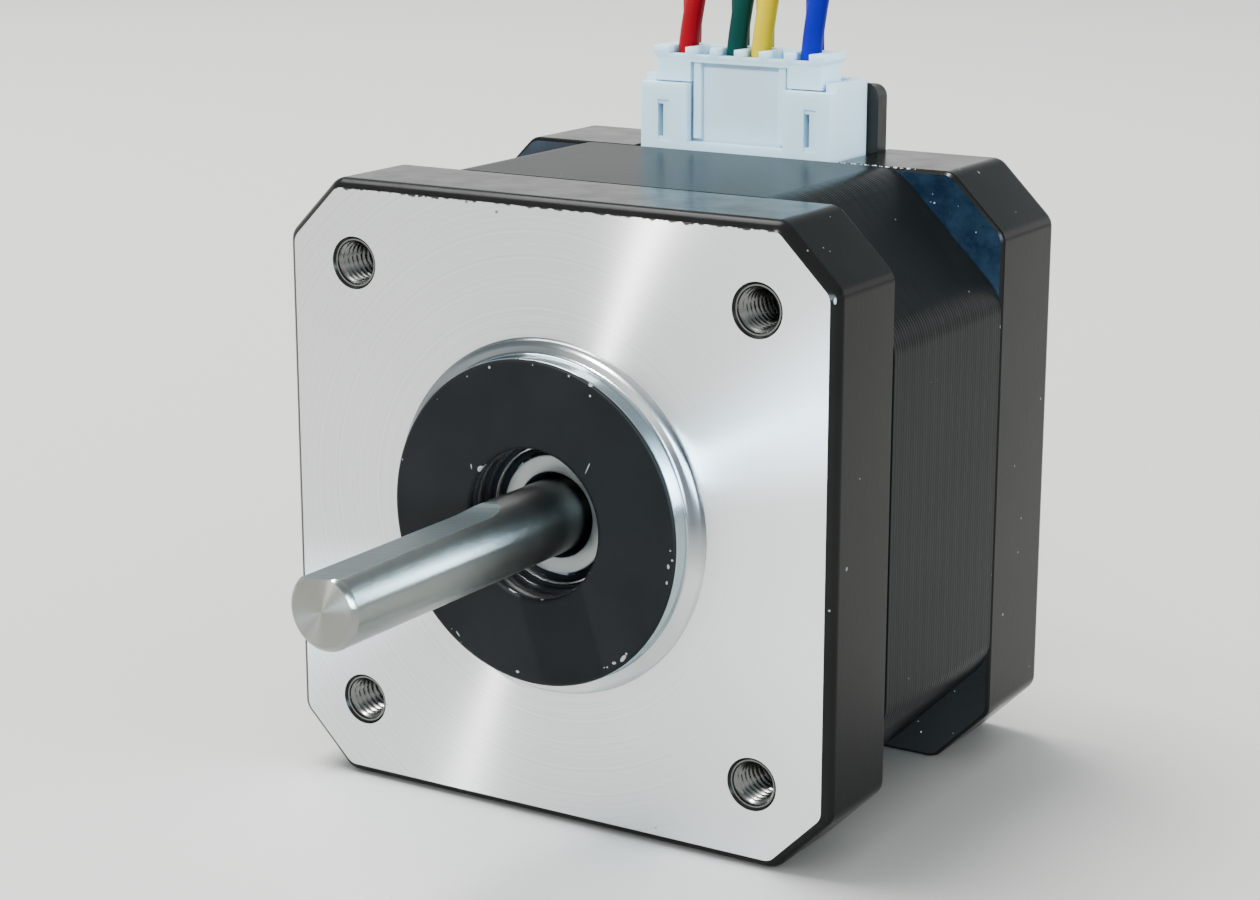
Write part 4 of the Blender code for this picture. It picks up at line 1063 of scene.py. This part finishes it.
def smooth_path(points, step):
    """Points about one step apart on a Catmull-Rom curve through the given points."""
    knots = [Vector(point) for point in points]
    knots = [2.0 * knots[0] - knots[1]] + knots + [2.0 * knots[-1] - knots[-2]]
    dense = []
    for before, start, end, after in zip(knots, knots[1:], knots[2:], knots[3:]):
        count = max(2, round((end - start).length / step))
        for index in range(count):
            t = index / count
            dense.append(0.5 * (
                2.0 * start
                + (end - before) * t
                + (2.0 * before - 5.0 * start + 4.0 * end - after) * t ** 2
                + (3.0 * start - before - 3.0 * end + after) * t ** 3
            ))
    dense.append(knots[-2])
    return dense


def ease(value):
    """A smooth step from 0 to 1."""
    value = min(1.0, max(0.0, value))
    return value * value * (3.0 - 2.0 * value)


def coil_points(level):
    """One wire's spiral, from the outside of the coil's near side inwards and clockwise."""
    points = []
    jog_turns = 0.16
    count = round(COIL_TURNS * 72)
    for index in range(3, count - 1):
        turns = COIL_TURNS * index / count
        radius = COIL_FIRST_R - COIL_STEP * turns
        radius += COIL_JOG * (1.0 - ease(turns / jog_turns))
        radius -= COIL_JOG * ease((turns - COIL_TURNS + jog_turns) / jog_turns)
        x, y = polar(radius, -90.0 - 360.0 * turns)
        points.append((COIL_CENTRE[0] + x, COIL_CENTRE[1] + y, level))
    return points


def add_wires():
    """Four insulated wires, each at its whole length."""
    wires = []
    for rank, (colour, index) in enumerate(WIRED.items()):
        plug_x = way_x(index)
        apart = (rank - 1.5) * WIRE_PITCH
        route = [(x + fan * plug_x + dx * apart, y, z + dz * apart)
                 for x, y, z, fan, dx, dz in LEAD_ROUTE]
        route += coil_points(COIL_MIDDLE_Z - apart)
        route += [(COIL_CENTRE[0] + x + dx * apart, COIL_CENTRE[1] + y + dy * apart, z + dz * apart)
                  for x, y, z, dx, dy, dz in TAIL_ROUTE]
        curve = bpy.data.curves.new(f"wire_{colour}", "CURVE")
        curve.dimensions = "3D"
        curve.bevel_depth = WIRE_R * MM
        curve.bevel_resolution = 4
        curve.use_fill_caps = True
        path = smooth_path(route, 0.9)
        spline = curve.splines.new("POLY")
        spline.points.add(len(path) - 1)
        for point, spot in zip(spline.points, path):
            point.co = (*(TO_ROW @ spot), 1.0)
        spline.use_smooth = True
        wire = bpy.data.objects.new(f"lead_{colour}", curve)
        bpy.context.scene.collection.objects.link(wire)
        curve.materials.append(insulation(colour).material)
        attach(wire, "housing")
        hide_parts(f"wire_{colour}", f"wire_{colour}_tail", "cable_coil")
        wires.append((wire, plug_x))
    return wires


# ---------------------------------------------------------------- build

def finish_nodes(look, *names):
    """Give carried-over CAD nodes their material."""
    for name in names:
        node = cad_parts[name]
        for slot in node.material_slots:
            slot.material = look.material


add_camera()
add_world()
FLOOR = add_floor()
add_area_light("overhead", (-0.38, 0.08, 0.95), (0.0, 0.0, 0.0), (0.6, 0.6), 17.0)
LAMP = add_area_light("lamp", (-0.167, -0.65, 0.54), (0.0, 0.0, 0.02), (0.015, 0.03), 10.0,
                      (1.0, 1.0, 0.95))
WINDOW = add_area_light("window", (0.56, -0.88, 0.22), (0.0, 0.0, 0.02), (0.80, 0.30), 30.0,
                        (0.66, 0.86, 1.0))
FILL = add_area_light("fill", (0.95, 0.06, 0.40), (0.0, 0.0, 0.03), (0.6, 0.6), 16.0,
                      (0.94, 0.98, 1.0))
aim(LAMP, "EXCLUDE", FLOOR)

PAINT = black_paint()
# Painted shade: a near-black material put on bore and bearing faces that lie in shadow.
PAINTED_SHADE = plain("painted_shade_recess", (0.006, 0.007, 0.008), 0.22)
NYLON = nylon()
PLASTIC = black_plastic()
BEARING_STEEL = turned_metal("bearing_steel", 0.42, (0.32, 0.335, 0.33))
add_front_bell(PAINT, machined_face())
add_pilot_boss(boss_paint(), turned_metal("boss_wall", 0.08, (0.40, 0.48, 0.52)),
               polished_root(), PAINTED_SHADE)
# Painted shade: the thread metal is far darker than bare aluminium, standing in for the shade inside the
# holes.
THREADS = add_threads(turned_metal("thread_metal_painted_shade", 0.24, (0.17, 0.172, 0.168)))
add_stack(stack_lacquer())
add_rear_bell(PAINT, glossy_paint())
add_screws(plain("zinc_steel", (0.50, 0.50, 0.47), 0.34, 1.0))
add_shaft(ground_steel(), milled_flat(), shaft_tip())
add_front_bearing(BEARING_STEEL, turned_metal("shield_lip", 0.2), PAINTED_SHADE)
SOCKET = add_socket(NYLON)
PLUG = add_plug(NYLON)
add_backing(PLASTIC)
add_paint_beads(plain("cured_lacquer", (0.30, 0.33, 0.37), 0.15))
TIE = add_tie(PLASTIC)
HOUSING = add_far_housing(PLASTIC)
WIRES = add_wires()
aim(WINDOW, "EXCLUDE", FLOOR, THREADS, SOCKET, PLUG, *[wire for wire, plug_x in WIRES])
aim(FILL, "INCLUDE", SOCKET, PLUG)

finish_nodes(plain("bobbin_plastic", (0.62, 0.58, 0.46), 0.5), "front_bobbin", "rear_bobbin")
finish_nodes(plain("enamelled_copper", (0.55, 0.22, 0.09), 0.3, 1.0),
             *[f"coil_{n}" for n in range(1, 9)])
finish_nodes(plain("circuit_board", (0.02, 0.12, 0.05), 0.45), "lead_board")
finish_nodes(plain("tinned_brass", (0.66, 0.62, 0.5), 0.3, 1.0),
             *[f"terminal_pin_{n}" for n in range(1, 7)], *[f"contact_{colour}" for colour in WIRED])
finish_nodes(plain("rotor_iron", (0.3, 0.3, 0.31), 0.38, 1.0), "rotor_cup_front", "rotor_cup_rear")
finish_nodes(plain("magnet", (0.2, 0.2, 0.21), 0.4, 1.0), "rotor_magnet")
finish_nodes(BEARING_STEEL, "rear_bearing_outer_ring", "rear_bearing_inner_ring",
             "rear_bearing_front_shield", "rear_bearing_rear_shield", "front_bearing_rear_shield",
             "front_bearing_balls", "rear_bearing_balls", "wave_washer")
finish_nodes(turned_metal("spacer_steel", 0.3, (0.5, 0.5, 0.5)), "front_spacer", "rear_spacer")
